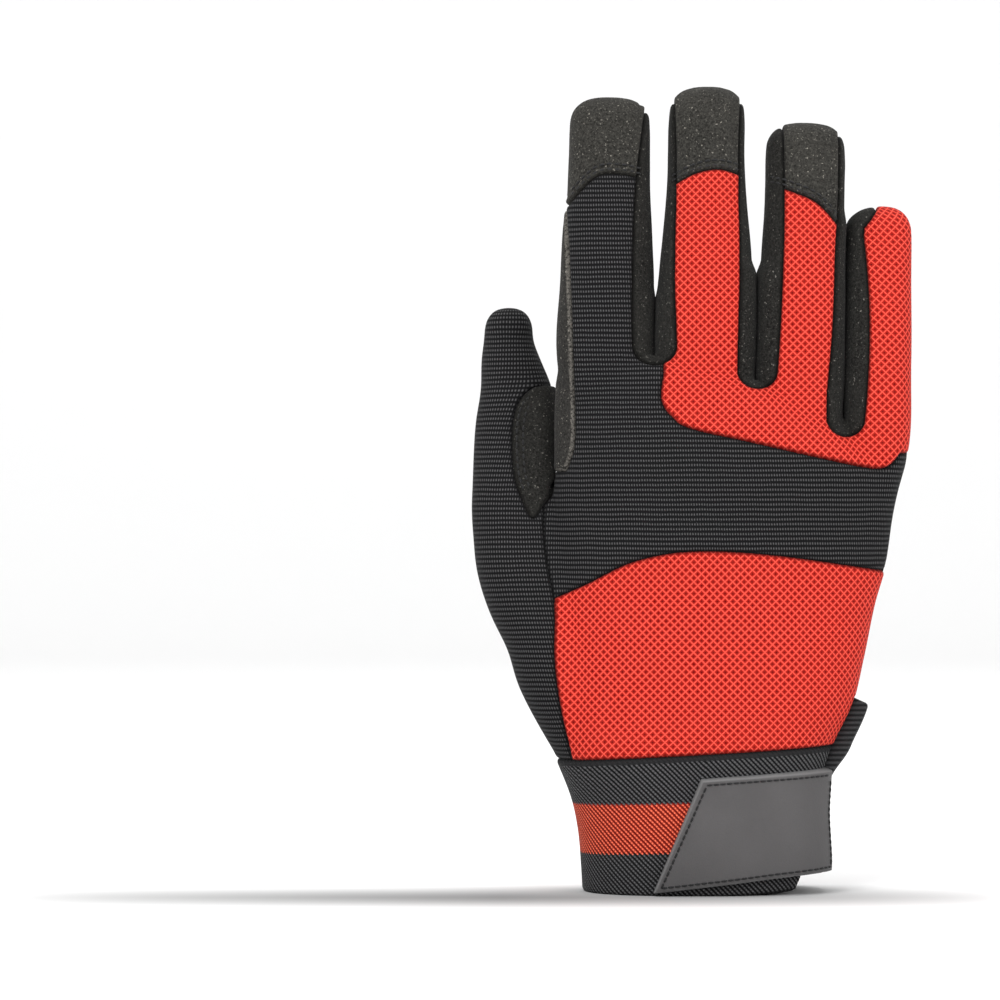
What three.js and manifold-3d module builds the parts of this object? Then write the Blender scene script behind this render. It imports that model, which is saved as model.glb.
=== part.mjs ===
// A right-hand mechanic glove, shown as the hand fills it: cuff down, fingers up, thumb towards the palm.
// Millimetres, +Z up the fingers, +X towards the little finger, -Y out of the back of the hand.
// The origin is the middle of the cuff's opening, where the wrist goes in.
// Every panel is cut from one hollow hand form: a form grown by the panel's height, less the hollow,
// less the seams. So each panel is a wall of its own material, a seam's gap from its neighbours.
import * as THREE from "three";
import { mergeVertices } from "three/addons/utils/BufferGeometryUtils.js";
import Module from "manifold-3d";

const wasm = await Module();
wasm.setup();

// Sizes of the hand form, measured outside the suede
const cuffWidth = 75;
const cuffDepth = 50;
const cuffHeight = 42.5;
const cuffSlope = 0.055; // rise of the cuff's upper edge towards the little finger, per mm
const cuffLift = 3.5; // rise of its lower edge at that side
const palmHeight = 119; // from the cuff to the crotch line
const palmDepth = 34;
const palmOffset = 8.9; // the palm's middle lies this far from the cuff's, towards the little finger
const palmArch = 4; // how far the palm's two edges lie towards the palm side
const thenarReach = 26; // how far the thumb's base stands out beside the palm
const thenarTurn = 12; // how far the web at its top lies towards the palm side
const crotchSlope = 0.25; // fall of the crotch line towards the little finger, per mm
const crotchBow = 14.8; // extra fall of the crotch line at the palm's two sides
const fingerGap = 1; // free space between two fingers at the crotch
const fingerCurl = 9; // how far a fingertip bends towards the palm side
const fingerDepth = 23;
const rootDraw = 0.5; // how fast the fingers' hidden roots draw together inside the palm
const tipRound = 9; // length of a fingertip's rounded end
const webDrop = 40.5; // the thumb's web lies this far under the crotch line's top
const thumbHeight = 57.5; // from the web to the tip
const thumbWidth = 25; // across the nail
const thumbThickness = 26; // at the web
const thumbLean = 17; // how far the tip lies towards the palm side of the web

// Heights of each material over the hollow
const suedeWall = 1.6;
const knitWall = 1.9;
const meshWall = 2.6;
const elasticWall = 2.2;
const gussetWall = 2.7;
const strapWall = 1.4;
const tabWall = 1.4;

// Seams, vent and strap
const seamGap = 0.3;
const crotchSeamDrop = 3.6; // the side strips' seam passes this far under each crotch
const stripEnd = 1; // a side strip ends this far under its fingertip
const thumbSeamRise = 0.45; // slope of the thumb's side seams across it
const crotchPatchPast = 4; // the crotch patch passes the thumb's middle by this much, to the palm side
const ventHeight = 58.5; // of the vent's point over the cuff's opening
const ventWidth = 33; // at the cuff's opening
const ventTop = 6; // width of the vent's binding at its top
const ventMiddle = -1; // how far the vent lies towards the back of the hand
const bindingWidth = 3.2;
const bindingFoot = 9.1; // the binding ends this far over the cuff's opening, behind the strap
const slitDrop = 10; // the slit's point lies this far under the vent's
const tabHeight = 32;
const tabRise = 3.1; // height of the tab's lower edge over the cuff's, in the middle
const tabReach = 16; // how far the tab's slanted end passes the middle
const tabRake = 14; // how far that end leans
const tabEnd = 9; // the tab's straight end lies this far behind the middle, beside the little finger
const tabTopSlope = 0.07; // rise of the tab's upper edge towards the little finger, per mm
const tabFootSlope = 0.126; // rise of its lower edge
const strapEnd = 13; // the strap ends this far round the palm side, beside the cuff's edge
const strapInset = 2; // the strap's slanted end lies this far inside the tab's

// width, length past the crotch line, lean of the tip and taper of the tip
const FINGERS = {
  index: { width: 30, length: 78.5, lean: 1.5, taper: 0.13 },
  middle: { width: 30.3, length: 84, lean: 1, taper: 0.2 },
  ring: { width: 26.8, length: 84.3, lean: 3, taper: 0.05 },
  little: { width: 21.2, length: 69, lean: 1.6, taper: 0.02 },
};
// Seams of the strips between the fingers, as shares of the finger's half width, at its root, half way up
// and at its tip
const STRIP_SEAMS = {
  index: { right: [0.6, 0.61, 0.98] },
  middle: { left: [-0.64, -0.78, -0.94], right: [0.69, 0.79, 0.94] },
  ring: { left: [-0.62, -0.55, -0.66], right: [0.68, 0.81, 0.87] },
  little: { left: [-0.52, -0.38, -0.74] },
};
// Lower seams of the fingertip caps, at four places across, as shares of the finger's length
const CAP_SEAMS = {
  index: { back: [0.575, 0.68, 0.69, 0.665], palm: [0.575, 0.55, 0.575, 0.595] },
  middle: { back: [0.63, 0.68, 0.695, 0.67], palm: [0.625, 0.615, 0.62, 0.66] },
  ring: { back: [0.775, 0.745, 0.7, 0.6] },
};

const SUEDE = { color: 0x2e2d2b, roughness: 0.95, metalness: 0 };
const KNIT = { color: 0x232426, roughness: 0.9, metalness: 0 };
const NET = { color: 0xd8241b, roughness: 0.75, metalness: 0 };
const ELASTIC = { color: 0x2b2b2b, roughness: 0.85, metalness: 0 };
const TAPE = { color: 0x1d1d20, roughness: 0.9, metalness: 0 };
const COATED = { color: 0x5c5b5c, roughness: 0.5, metalness: 0 };

const FAR = 300; // past any face of the glove
const OVERLAP = 0.01; // keeps two faces of one cell from meeting edge to edge
const FINE = 0.08; // a face this near flat is merged with the next
const BODY_SIDES = 32;
const FINGER_SIDES = 14;
const TIP_RINGS = 3;
const SQUARENESS = 2.5; // of a section: 2 is an ellipse, more is boxier
const DOME_FLAT = 0.4; // share of a ring's step that a dome leaves flat at its top
const LAST_CROTCH = 0.67; // the crotch line is level past this share of the palm's half width
const ROOT_START = 0.12; // the hidden roots draw together from this share of a length under the crotch
const ROOT_TOP = 0.05; // share of a finger's length up to which the hand's side seams run
const CROTCH_ROUND = 1.5; // free height over a crotch before its strip's seams turn

// Where things lie, worked out from the sizes
const cuffHalf = cuffWidth / 2;
const palmHalf = Object.values(FINGERS).reduce((sum, finger) => sum + finger.width, 0) / 2;
const palmLeft = palmOffset - palmHalf;
const crotchTop = cuffHeight + palmHeight;
const webHeight = crotchTop - webDrop;
const thumbSide = palmLeft - seamGap; // plane between the thumb and the index finger
const thumbEdge = palmLeft - thenarReach;

const lerp = (a, b, t) => a + (b - a) * t;
const archAt = (x) => palmArch * ((x - palmOffset) / palmHalf) ** 2;

// Height of the line that the finger crotches lie on.
function crotchLine(x) {
  const across = THREE.MathUtils.clamp(x, palmLeft, palmOffset + LAST_CROTCH * palmHalf);
  return crotchTop - crotchSlope * across - crotchBow * (across / palmHalf) ** 2;
}

// The hand's own sections. up: share of the cuff's height, then of the palm's. mix: 0 is the cuff's size,
// 1 the palm's. left, right, back, palm: shares of half the width or depth. bow: how far the section
// follows the crotch line.
const CUFF_SECTIONS = [
  { up: -0.2, left: 0.985, right: 0.9, back: 0.96, palm: 0.96 },
  { up: 0, left: 0.985, right: 0.9, back: 0.96, palm: 0.96 },
  { up: 0.22, left: 1, right: 0.93, back: 0.98, palm: 0.98 },
  { up: 0.45, left: 1.02, right: 0.95, back: 0.98, palm: 0.98 },
  { up: 0.68, left: 1.07, right: 0.97, back: 0.98, palm: 0.98 },
  { up: 0.86, left: 1.14, right: 0.99, back: 0.99, palm: 0.99 },
  { up: 1, left: 1.2, right: 1.04, back: 1, palm: 1 },
];
const PALM_SECTIONS = [
  { up: 0.1, mix: 0.3, left: 1.17, right: 0.98, back: 1.02, palm: 1.04, bow: 0 },
  { up: 0.23, mix: 0.5, left: 1.123, right: 0.95, back: 1, palm: 1.06, bow: 0 },
  { up: 0.37, mix: 0.75, left: 1.07, right: 0.9, back: 1, palm: 1.1, bow: 0 },
  { up: 0.48, mix: 0.9, left: 1.045, right: 0.9, back: 1, palm: 1.12, bow: 0 },
  { up: 0.585, mix: 1, left: 1.03, right: 0.89, back: 1, palm: 1.1, bow: 0 },
  { up: 0.67, mix: 1, left: 1.015, right: 0.92, back: 1, palm: 1.08, bow: 0.1 },
  { up: 0.74, mix: 1, left: 1, right: 0.945, back: 0.98, palm: 1.04, bow: 0.25 },
  { up: 0.81, mix: 1, left: 1, right: 0.96, back: 0.93, palm: 0.98, bow: 0.5 },
  { up: 0.9, mix: 1, left: 0.995, right: 0.975, back: 0.83, palm: 0.87, bow: 0.8 },
  { up: 0.96, mix: 1, left: 0.98, right: 0.97, back: 0.68, palm: 0.7, bow: 1 },
  { up: 0.99, mix: 1, left: 0.95, right: 0.94, back: 0.4, palm: 0.4, bow: 1 },
];
// A finger's sections. along: share of its length past the crotch line. narrow: share of its taper.
// depth: share of its depth.
const FINGER_SECTIONS = [
  { along: -0.3, narrow: 0.7, depth: 0.86 },
  { along: -0.04, narrow: 0, depth: 1 },
  { along: 0.28, narrow: 0.1, depth: 0.99 },
  { along: 0.45, narrow: 0.45, depth: 0.96 },
  { along: 0.6, narrow: 0.8, depth: 0.92 },
  { along: 0.78, narrow: 1, depth: 0.85 },
  { along: 0.9, narrow: 1.1, depth: 0.78 },
];
// The thumb's sections, from the cuff up. along: share of its height over the web. side: how far its middle
// lies beside the palm's edge, as a share of the thenar's reach. lean, thickness, width: shares of its sizes.
const THUMB_SECTIONS = [
  { along: -1.44, side: -0.45, lean: -0.7, thickness: 0.77, width: 1.28 },
  { along: -1.235, side: -0.305, lean: -0.62, thickness: 1, width: 1.36 },
  { along: -1.03, side: -0.165, lean: -0.53, thickness: 1.19, width: 1.4 },
  { along: -0.82, side: -0.075, lean: -0.41, thickness: 1.31, width: 1.4 },
  { along: -0.61, side: 0.087, lean: -0.265, thickness: 1.42, width: 1.36 },
  { along: -0.4, side: 0.225, lean: -0.15, thickness: 1.42, width: 1.3 },
  { along: -0.227, side: 0.317, lean: -0.06, thickness: 1.31, width: 1.2 },
  { along: -0.087, side: 0.413, lean: 0, thickness: 1.15, width: 1.11 },
  { along: 0.07, side: 0.49, lean: 0.14, thickness: 0.97, width: 1.06 },
  { along: 0.2, side: 0.49, lean: 0.28, thickness: 0.95, width: 1.04 },
  { along: 0.38, side: 0.475, lean: 0.47, thickness: 0.93, width: 1.02 },
  { along: 0.57, side: 0.475, lean: 0.66, thickness: 0.82, width: 0.98 },
  { along: 0.74, side: 0.545, lean: 0.84, thickness: 0.66, width: 0.92 },
  { along: 0.84, side: 0.57, lean: 0.93, thickness: 0.56, width: 0.84 },
];

// A share column of a table of sections, read at any place.
function column(rows, at, key, value) {
  const next = rows.findIndex((row) => row[at] >= value);
  if (next === 0) return rows[0][key];
  if (next < 0) return rows.at(-1)[key];
  const [low, high] = [rows[next - 1], rows[next]];
  return lerp(low[key], high[key], (value - low[at]) / (high[at] - low[at]));
}

// Points of a rounded-box section, from its thumb side round by the back; lift puts each one in place.
function sectionRing(sides, left, right, back, palm, lift) {
  const round = (v) => Math.sign(v) * Math.abs(v) ** (2 / SQUARENESS);
  return Array.from({ length: sides }, (_, i) => {
    const angle = Math.PI + (2 * Math.PI * i) / sides;
    const x = (left + right) / 2 + (round(Math.cos(angle)) * (right - left)) / 2;
    const deep = round(Math.sin(angle));
    return lift(x, deep > 0 ? deep * palm : deep * back);
  });
}

function handRings() {
  const cuff = CUFF_SECTIONS.map((row) => {
    const z = (x) => row.up * (cuffHeight + cuffSlope * x);
    const lift = (x, y) => new THREE.Vector3(x, y, z(x));
    const [left, right] = [-row.left * cuffHalf, row.right * cuffHalf];
    const [back, palm] = [(row.back * cuffDepth) / 2, (row.palm * cuffDepth) / 2];
    return sectionRing(BODY_SIDES, left, right, back, palm, lift);
  });
  const palm = PALM_SECTIONS.map((row) => {
    const half = lerp(cuffHalf, palmHalf, row.mix);
    const depth = lerp(cuffDepth, palmDepth, row.mix) / 2;
    const middle = row.mix * palmOffset;
    const height = cuffHeight + row.up * palmHeight;
    const z = (x) => height + row.bow * (crotchLine(x) - crotchTop) + (1 - row.up) * cuffSlope * x;
    const lift = (x, y) => new THREE.Vector3(x, y + row.mix * archAt(x), z(x));
    const [left, right] = [middle - row.left * half, middle + row.right * half];
    return sectionRing(BODY_SIDES, left, right, row.back * depth, row.palm * depth, lift);
  });
  return [...cuff, ...palm];
}

// Places the fingers side by side, with each one's middle line and half width at any height.
function placeFingers() {
  let edge = palmLeft;
  for (const [name, finger] of Object.entries(FINGERS)) {
    finger.name = name;
    finger.from = edge;
    finger.to = edge + finger.width;
    finger.middle = (finger.from + finger.to) / 2;
    finger.root = crotchLine(finger.middle);
    finger.tip = finger.root + finger.length;
    finger.along = (z) => (z - finger.root) / finger.length;
    finger.at = (along) => finger.root + along * finger.length;
    finger.x = (z) => {
      const along = finger.along(z);
      const drawn = rootDraw * (finger.middle - palmOffset) * Math.min(0, along + ROOT_START);
      return finger.middle + finger.lean * Math.max(0, along) + drawn;
    };
    finger.y = (z) => archAt(finger.middle) + fingerCurl * Math.max(0, finger.along(z)) ** 2;
    finger.wide = (z) => {
      const narrow = column(FINGER_SECTIONS, "along", "narrow", finger.along(z));
      return ((finger.width - fingerGap) / 2) * (1 - finger.taper * narrow);
    };
    finger.deep = (z) => (fingerDepth / 2) * column(FINGER_SECTIONS, "along", "depth", finger.along(z));
    edge = finger.to;
  }
}
placeFingers();

const thumb = {
  tip: webHeight + thumbHeight,
  share: (key, z) => column(THUMB_SECTIONS, "along", key, (z - webHeight) / thumbHeight),
  x: (z) => palmLeft - thenarReach * thumb.share("side", z),
  y: (z) => thenarTurn + thumbLean * thumb.share("lean", z),
  wide: (z) => (thumbThickness / 2) * thumb.share("thickness", z),
  deep: (z) => (thumbWidth / 2) * thumb.share("width", z),
};

// A section of a finger or the thumb at a height, scaled about its middle.
function limbRing(limb, z, scale = 1, at = z) {
  const [x, wide, deep] = [limb.x(z), limb.wide(at) * scale, limb.deep(at) * scale];
  const lift = (px, py) => new THREE.Vector3(px, limb.y(z) + py, z);
  return sectionRing(FINGER_SIDES, x - wide, x + wide, deep, deep, lift);
}

// A finger or the thumb: its sections, then a blunt dome over the last of them.
function limbRings(limb, heights, domeStart) {
  const body = heights.filter((z) => z < domeStart - 1).map((z) => limbRing(limb, z));
  const dome = Array.from({ length: TIP_RINGS + 1 }, (_, i) => {
    const angle = (i / (TIP_RINGS + DOME_FLAT)) * (Math.PI / 2);
    const z = lerp(domeStart, limb.tip, Math.sin(angle) ** (2 / SQUARENESS));
    return limbRing(limb, z, Math.cos(angle) ** (2 / SQUARENESS), domeStart);
  });
  return [...body, ...dome];
}

const fingerRings = (finger) =>
  limbRings(finger, FINGER_SECTIONS.map((row) => finger.at(row.along)), finger.tip - tipRound);
const thumbRings = () =>
  limbRings(thumb, THUMB_SECTIONS.map((row) => webHeight + row.along * thumbHeight), thumb.tip - tipRound);

// The rings moved out square to the surface that they span, or in where height is below 0.
function grown(rings, height) {
  return rings.map((ring, r) => {
    const [below, above] = [rings[Math.max(0, r - 1)], rings[Math.min(rings.length - 1, r + 1)]];
    return ring.map((point, i) => {
      const around = ring[(i + 1) % ring.length].clone().sub(ring[(i + ring.length - 1) % ring.length]);
      const normal = around.cross(above[i].clone().sub(below[i])).normalize();
      return point.clone().addScaledVector(normal, height);
    });
  });
}

// A closed solid through rings of points, each end closed by a fan.
function loft(rings) {
  const sides = rings[0].length;
  const middle = (ring) => ring.reduce((sum, p) => sum.add(p), new THREE.Vector3()).divideScalar(sides);
  const points = [...rings.flat(), middle(rings[0]), middle(rings.at(-1))];
  const [first, last] = [points.length - 2, points.length - 1];
  const faces = [];
  for (let i = 0; i < sides; i++) {
    const next = (i + 1) % sides;
    const top = (rings.length - 1) * sides;
    faces.push(first, next, i, last, top + i, top + next);
    for (let r = 0; r < rings.length - 1; r++) {
      const [a, b, c, d] = [r * sides + i, r * sides + next, (r + 1) * sides + next, (r + 1) * sides + i];
      faces.push(a, b, c, a, c, d);
    }
  }
  const geometry = new THREE.BufferGeometry().setFromPoints(points);
  geometry.setIndex(faces);
  return solid(geometry);
}

function solid(geometry) {
  geometry.deleteAttribute("normal");
  geometry.deleteAttribute("uv");
  const merged = mergeVertices(geometry, 1e-4);
  const vertProperties = merged.attributes.position.array;
  const triVerts = new Uint32Array(merged.index.array);
  return new wasm.Manifold(new wasm.Mesh({ numProp: 3, vertProperties, triVerts }));
}

const joined = (solids) => solids.reduce((all, one) => all.add(one));

// The whole hand form, raised over the suede's own face by height.
function form(height) {
  const limbs = [...Object.values(FINGERS).map(fingerRings), thumbRings()];
  return joined([handRings(), ...limbs].map((rings) => loft(grown(rings, height))));
}
const hollow = form(-suedeWall);
const skin = (wall) => form(wall - suedeWall).subtract(hollow);
const layer = (base, wall) => form(base + wall).subtract(form(base));

// An outline moved out by gap, square to its edges.
function outset(outline, gap) {
  const turn = Math.sign(THREE.ShapeUtils.area(outline));
  return outline.map((point, i) => {
    const before = point.clone().sub(outline[(i + outline.length - 1) % outline.length]).normalize();
    const after = outline[(i + 1) % outline.length].clone().sub(point).normalize();
    const out = before.add(after).normalize();
    return new THREE.Vector2(point.x + out.y * gap * turn, point.y - out.x * gap * turn);
  });
}

// A prism right through the hand, front to back, over an outline in X and Z.
function prism(outline, gap = 0) {
  const settings = { depth: 2 * FAR, bevelEnabled: false };
  const geometry = new THREE.ExtrudeGeometry(new THREE.Shape(outset(outline, gap)), settings);
  return solid(geometry.rotateX(Math.PI / 2).translate(0, FAR, 0));
}

// A prism from the hand's middle out past the little finger's side, over an outline in Y and Z.
function sidePrism(outline, gap = 0) {
  const settings = { depth: FAR, bevelEnabled: false };
  const geometry = new THREE.ExtrudeGeometry(new THREE.Shape(outset(outline, gap)), settings);
  return solid(geometry.rotateX(Math.PI / 2).rotateZ(Math.PI / 2));
}

// A slab on the palm side of a surface, which middle gives at places across and heights.
function slab(places, heights, middle) {
  const rings = heights.map((z) => [
    ...places.map((x) => new THREE.Vector3(x, middle(x, z), z)),
    new THREE.Vector3(places.at(-1), FAR, z),
    new THREE.Vector3(places[0], FAR, z),
  ]);
  return loft(rings);
}

// The half of the hand form on the palm side of its side seams, moved out towards the back by gap.
function palmSide(gap = 0) {
  const rows = [
    ...CUFF_SECTIONS.map((row) => ({ z: row.up * cuffHeight, mix: 0 })),
    ...PALM_SECTIONS.map((row) => ({ z: cuffHeight + row.up * palmHeight, mix: row.mix })),
  ];
  const handMiddle = (x, z) => {
    const across = THREE.MathUtils.clamp(x, thumbSide, FINGERS.little.middle);
    return column(rows, "z", "mix", z) * archAt(across) - gap;
  };
  const thumbMiddle = (x, z) => thumb.y(z) + thumbSeamRise * (thumb.x(z) - Math.max(x, thumbEdge)) - gap;
  const acrossHand = [-0.5, 0, 0.45, 0.8].map((share) => palmOffset + share * palmHalf);
  let hand = slab([thumbSide, ...acrossHand, FAR], rows.map((row) => row.z), handMiddle);
  const fingers = Object.values(FINGERS).map((finger) => {
    const from = finger.name === "index" ? thumbSide : finger.from;
    const to = finger.name === "little" ? FAR : finger.to;
    hand = hand.subtract(prism(rectangle(from, to, finger.at(ROOT_TOP), FAR)));
    return slab([from, to], [-0.06, 0.3, 0.6, 0.85, 1.2].map(finger.at), (x, z) => finger.y(z) - gap);
  });
  const thumbHeights = [-FAR, ...THUMB_SECTIONS.map((row) => webHeight + row.along * thumbHeight), FAR];
  const thumbSlab = slab([-FAR, thumbEdge, thumbSide], thumbHeights, thumbMiddle);
  return joined([hand, thumbSlab, ...fingers]);
}

const point = (x, z) => new THREE.Vector2(x, z);
const rectangle = (left, right, bottom, top) => [
  point(left, bottom),
  point(right, bottom),
  point(right, top),
  point(left, top),
];
// A point of a seam on the hand: across from the palm's middle, and up from the cuff, as shares of both.
const onHand = ({ across, up }) => point(palmOffset + across * palmHalf, cuffHeight + up * palmHeight);
const curve = (points, steps) => new THREE.SplineCurve(points).getPoints(steps);

// Seams of the hand, listed along each seam
const KNUCKLE_SEAM = [
  { across: -0.4, up: 0.97 },
  { across: -0.415, up: 0.9 },
  { across: -0.356, up: 0.857 },
  { across: -0.25, up: 0.827 },
  { across: 0.135, up: 0.788 },
  { across: 0.654, up: 0.736 },
  { across: 0.84, up: 0.728 },
  { across: 0.93, up: 0.765 },
];
const HAND_MESH_TOP = [
  { across: -1.008, up: 0.393 },
  { across: -0.836, up: 0.428 },
  { across: -0.576, up: 0.485 },
  { across: -0.255, up: 0.511 },
  { across: 0.202, up: 0.502 },
  { across: 0.823, up: 0.462 },
];
const HAND_MESH_LEFT = [
  { across: -1.018, up: 0.3 },
  { across: -0.999, up: 0.159 },
  { across: -0.965, up: 0.069 },
  { across: -0.915, up: -0.02 },
];
const THUMB_SEAM = [
  { across: -1.073, up: 0.63 },
  { across: -1.078, up: 0.56 },
  { across: -1.058, up: 0.48 },
  { across: -1.016, up: 0.37 },
  { across: -1.018, up: 0.25 },
  { across: -0.999, up: 0.159 },
  { across: -0.965, up: 0.069 },
  { across: -0.9, up: -0.05 },
];
const THUMB_PALM_SEAM = [
  { across: -1.5, up: 0.73 },
  { across: -1.383, up: 0.634 },
  { across: -1.18, up: 0.483 },
  { across: -0.977, up: 0.315 },
  { across: -0.811, up: 0.147 },
  { across: -0.62, up: -0.05 },
];
const INDEX_STRIP_BACK = [
  { across: -0.95, up: 1.395 },
  { across: -0.92, up: 1.034 },
  { across: -0.906, up: 0.855 },
  { across: -0.915, up: 0.775 },
  { across: -0.955, up: 0.72 },
];
const INDEX_STRIP_PALM = [
  { across: -0.95, up: 1.395 },
  { across: -0.847, up: 1.312 },
  { across: -0.802, up: 1.2 },
  { across: -0.813, up: 1.029 },
  { across: -0.84, up: 0.84 },
  { across: -0.9, up: 0.76 },
  { across: -0.97, up: 0.722 },
];
const CROTCH_OVAL = [
  { across: -1.015, up: 0.925 },
  { across: -1.06, up: 0.935 },
  { across: -1.14, up: 0.93 },
  { across: -1.215, up: 0.895 },
  { across: -1.248, up: 0.83 },
  { across: -1.242, up: 0.721 },
  { across: -1.208, up: 0.662 },
  { across: -1.14, up: 0.6 },
  { across: -1.078, up: 0.635 },
  { across: -1.02, up: 0.69 },
];

// Each cell is the space that one panel takes of the hand form, moved out by gap for its neighbours.
// Where a panel crosses a side seam, it has one outline on the back and one on the palm side.
function twoSided(back, palm, gap) {
  const behind = prism(back, gap).subtract(palmSide(-gap));
  return palm ? behind.add(prism(palm, gap).intersect(palmSide(gap + OVERLAP))) : behind;
}

// A seam of a finger's side strip at a height: which is "left" or "right".
function stripSeam(finger, which, z) {
  const [root, middle, tip] = STRIP_SEAMS[finger.name][which];
  const along = Math.max(0, finger.along(z));
  const bow = 4 * along * (1 - along) * (middle - (root + tip) / 2);
  return point(finger.x(z) + finger.wide(z) * (lerp(root, tip, along) + bow), z);
}

// The strip between two fingers: up the side of each, and under their crotch.
function stripCell(low, high, gap) {
  const crotch = crotchLine(low.to);
  const turn = crotch + CROTCH_ROUND;
  const heights = (finger) => [0, 0.2, 0.45, 0.7, 0.88, 1].map((t) => lerp(turn, finger.tip - stripEnd, t));
  const down = heights(low).reverse().map((z) => stripSeam(low, "right", z));
  const up = heights(high).map((z) => stripSeam(high, "left", z));
  const [from, to] = [down.at(-1).x, up[0].x];
  const drop = CROTCH_ROUND + crotchSeamDrop;
  const under = new THREE.EllipseCurve((from + to) / 2, turn, (to - from) / 2, drop, Math.PI, 2 * Math.PI);
  const seam = [...down, ...under.getPoints(8).slice(1, -1), ...up];
  const [left, right] = [down[0], up.at(-1)];
  const corner = left.y > right.y ? point(right.x, left.y) : point(left.x, right.y);
  return prism([...seam, corner], gap);
}

// A fingertip's cap above its seam; sides says whether it covers the back, the palm side or both.
function capCell(finger, sides, gap) {
  const outline = (shares) => {
    const seam = shares.map((along, i) => {
      const z = finger.at(along);
      return point(finger.x(z) + lerp(-1, 1, i / (shares.length - 1)) * finger.wide(z), z);
    });
    const line = curve(seam, 8);
    const [from, to] = [line[0].x - fingerGap / 2, line.at(-1).x + fingerGap / 2];
    const ends = [point(to, line.at(-1).y), point(to, FAR), point(from, FAR), point(from, line[0].y)];
    return [...line, ...ends];
  };
  const seams = CAP_SEAMS[finger.name];
  if (sides === "palm") return prism(outline(seams.palm), gap).intersect(palmSide(gap));
  return twoSided(outline(seams.back), sides === "both" && outline(seams.palm), gap);
}

function indexStripCell(gap) {
  const outline = (seam) => {
    const line = curve(seam.map(onHand), 10);
    return [point(thumbSide, line[0].y), ...line, point(thumbSide, line.at(-1).y)];
  };
  return twoSided(outline(INDEX_STRIP_BACK), outline(INDEX_STRIP_PALM), gap);
}

// The crotch patch: the back half of the thumb's inner side, and right round the web under it.
function crotchCell(gap) {
  const oval = curve([...CROTCH_OVAL, CROTCH_OVAL[0]].map(onHand), 18).slice(0, -1);
  const front = loft(
    [-0.4, 0, 0.4, 0.9].map((along) => {
      const z = webHeight + along * thumbHeight;
      const y = thumb.y(z) + crotchPatchPast + gap;
      return [[-FAR, y], [FAR, y], [FAR, FAR], [-FAR, FAR]].map(([px, py]) => new THREE.Vector3(px, py, z));
    }),
  );
  return prism(oval, gap).subtract(front);
}

function thumbCell(gap) {
  const back = curve(THUMB_SEAM.map(onHand), 12);
  const top = [point(-FAR, FAR), point(thumbSide, FAR), point(thumbSide, onHand(INDEX_STRIP_BACK.at(-1)).y)];
  const palm = curve(THUMB_PALM_SEAM.map(onHand), 10);
  const backOutline = [...top, ...back, point(-FAR, back.at(-1).y)];
  return twoSided(backOutline, [...palm, point(-FAR, palm.at(-1).y), point(-FAR, palm[0].y)], gap);
}

function knuckleCell(gap) {
  const line = curve(KNUCKLE_SEAM.map(onHand), 16);
  const ends = [point(FAR, line.at(-1).y), point(FAR, FAR), point(line[0].x, FAR)];
  return twoSided([...line, ...ends], null, gap);
}

function handMeshCell(gap) {
  const left = curve(HAND_MESH_LEFT.map(onHand), 8).reverse();
  const top = curve(HAND_MESH_TOP.map(onHand), 12);
  return twoSided([...left, ...top, point(FAR, top.at(-1).y), point(FAR, left[0].y)], null, gap);
}

const cuffTop = (x) => cuffHeight + cuffSlope * x;

// The cuff's lower edge, from its thumb side, level as far as the middle
function cuffFoot() {
  const rise = [0, 0.4, 0.75, 1.1].map((share) => point(share * cuffHalf, cuffLift * share ** 2));
  return [point(-FAR, 0), ...rise, point(FAR, rise.at(-1).y)];
}
const cuffCell = (gap) => prism([...cuffFoot(), point(FAR, cuffTop(FAR)), point(-FAR, cuffTop(-FAR))], gap);
const underCuff = prism([...cuffFoot(), point(FAR, -FAR), point(-FAR, -FAR)]);

// The vent's outer edge and its slit, seen from the little finger's side
const ventOutline = [
  point(ventMiddle - ventWidth / 2, 0),
  point(ventMiddle + ventWidth / 2, 0),
  point(ventMiddle + ventTop / 2, ventHeight),
  point(ventMiddle - ventTop / 2, ventHeight),
];
const slitHalf = ventWidth / 2 - bindingWidth;
const slitOutline = [
  point(ventMiddle - slitHalf, 0),
  point(ventMiddle + slitHalf, 0),
  point(ventMiddle, ventHeight - slitDrop),
];
const underBinding = prism(rectangle(-FAR, FAR, -FAR, bindingFoot));

// The tab's outline on the back of the cuff; inset moves its slanted end in
const tabEdge = (rise, slope) => (x) => rise + slope * x;
const tabFoot = tabEdge(tabRise, tabFootSlope);
const tabTop = tabEdge(tabRise + tabHeight, tabTopSlope);
function tabOutline(inset, right) {
  const [low, high] = [-tabReach + inset, -tabReach + tabRake + inset];
  const foot = [point(low, tabFoot(low)), point(right, tabFoot(right))];
  return [...foot, point(right, tabTop(right)), point(high, tabTop(high))];
}

const { index, middle, ring, little } = FINGERS;
const glove = new THREE.Group();
glove.name = "mechanic_glove";

// A panel is its wall within its cell, less the cells of the panels before it, each with its seam's gap.
const taken = [];
function addPanel(name, wall, material, cell) {
  const made = cell ? skin(wall).intersect(cell(0)) : skin(wall);
  addPiece(name, taken.reduce((rest, other) => rest.subtract(other), made), material);
  if (cell) taken.push(cell(seamGap));
}

// Adds a piece as a mesh, without any crumb that a cut left beside it.
function addPiece(name, made, material) {
  const parts = made.simplify(FINE).decompose();
  const { vertProperties, triVerts } = parts.reduce((a, b) => (a.volume() > b.volume() ? a : b)).getMesh();
  const geometry = new THREE.BufferGeometry();
  geometry.setAttribute("position", new THREE.BufferAttribute(vertProperties, 3));
  geometry.setIndex(new THREE.BufferAttribute(triVerts, 1));
  geometry.computeVertexNormals();
  const mesh = new THREE.Mesh(geometry, new THREE.MeshStandardMaterial(material));
  mesh.name = name;
  glove.add(mesh);
}

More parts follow.
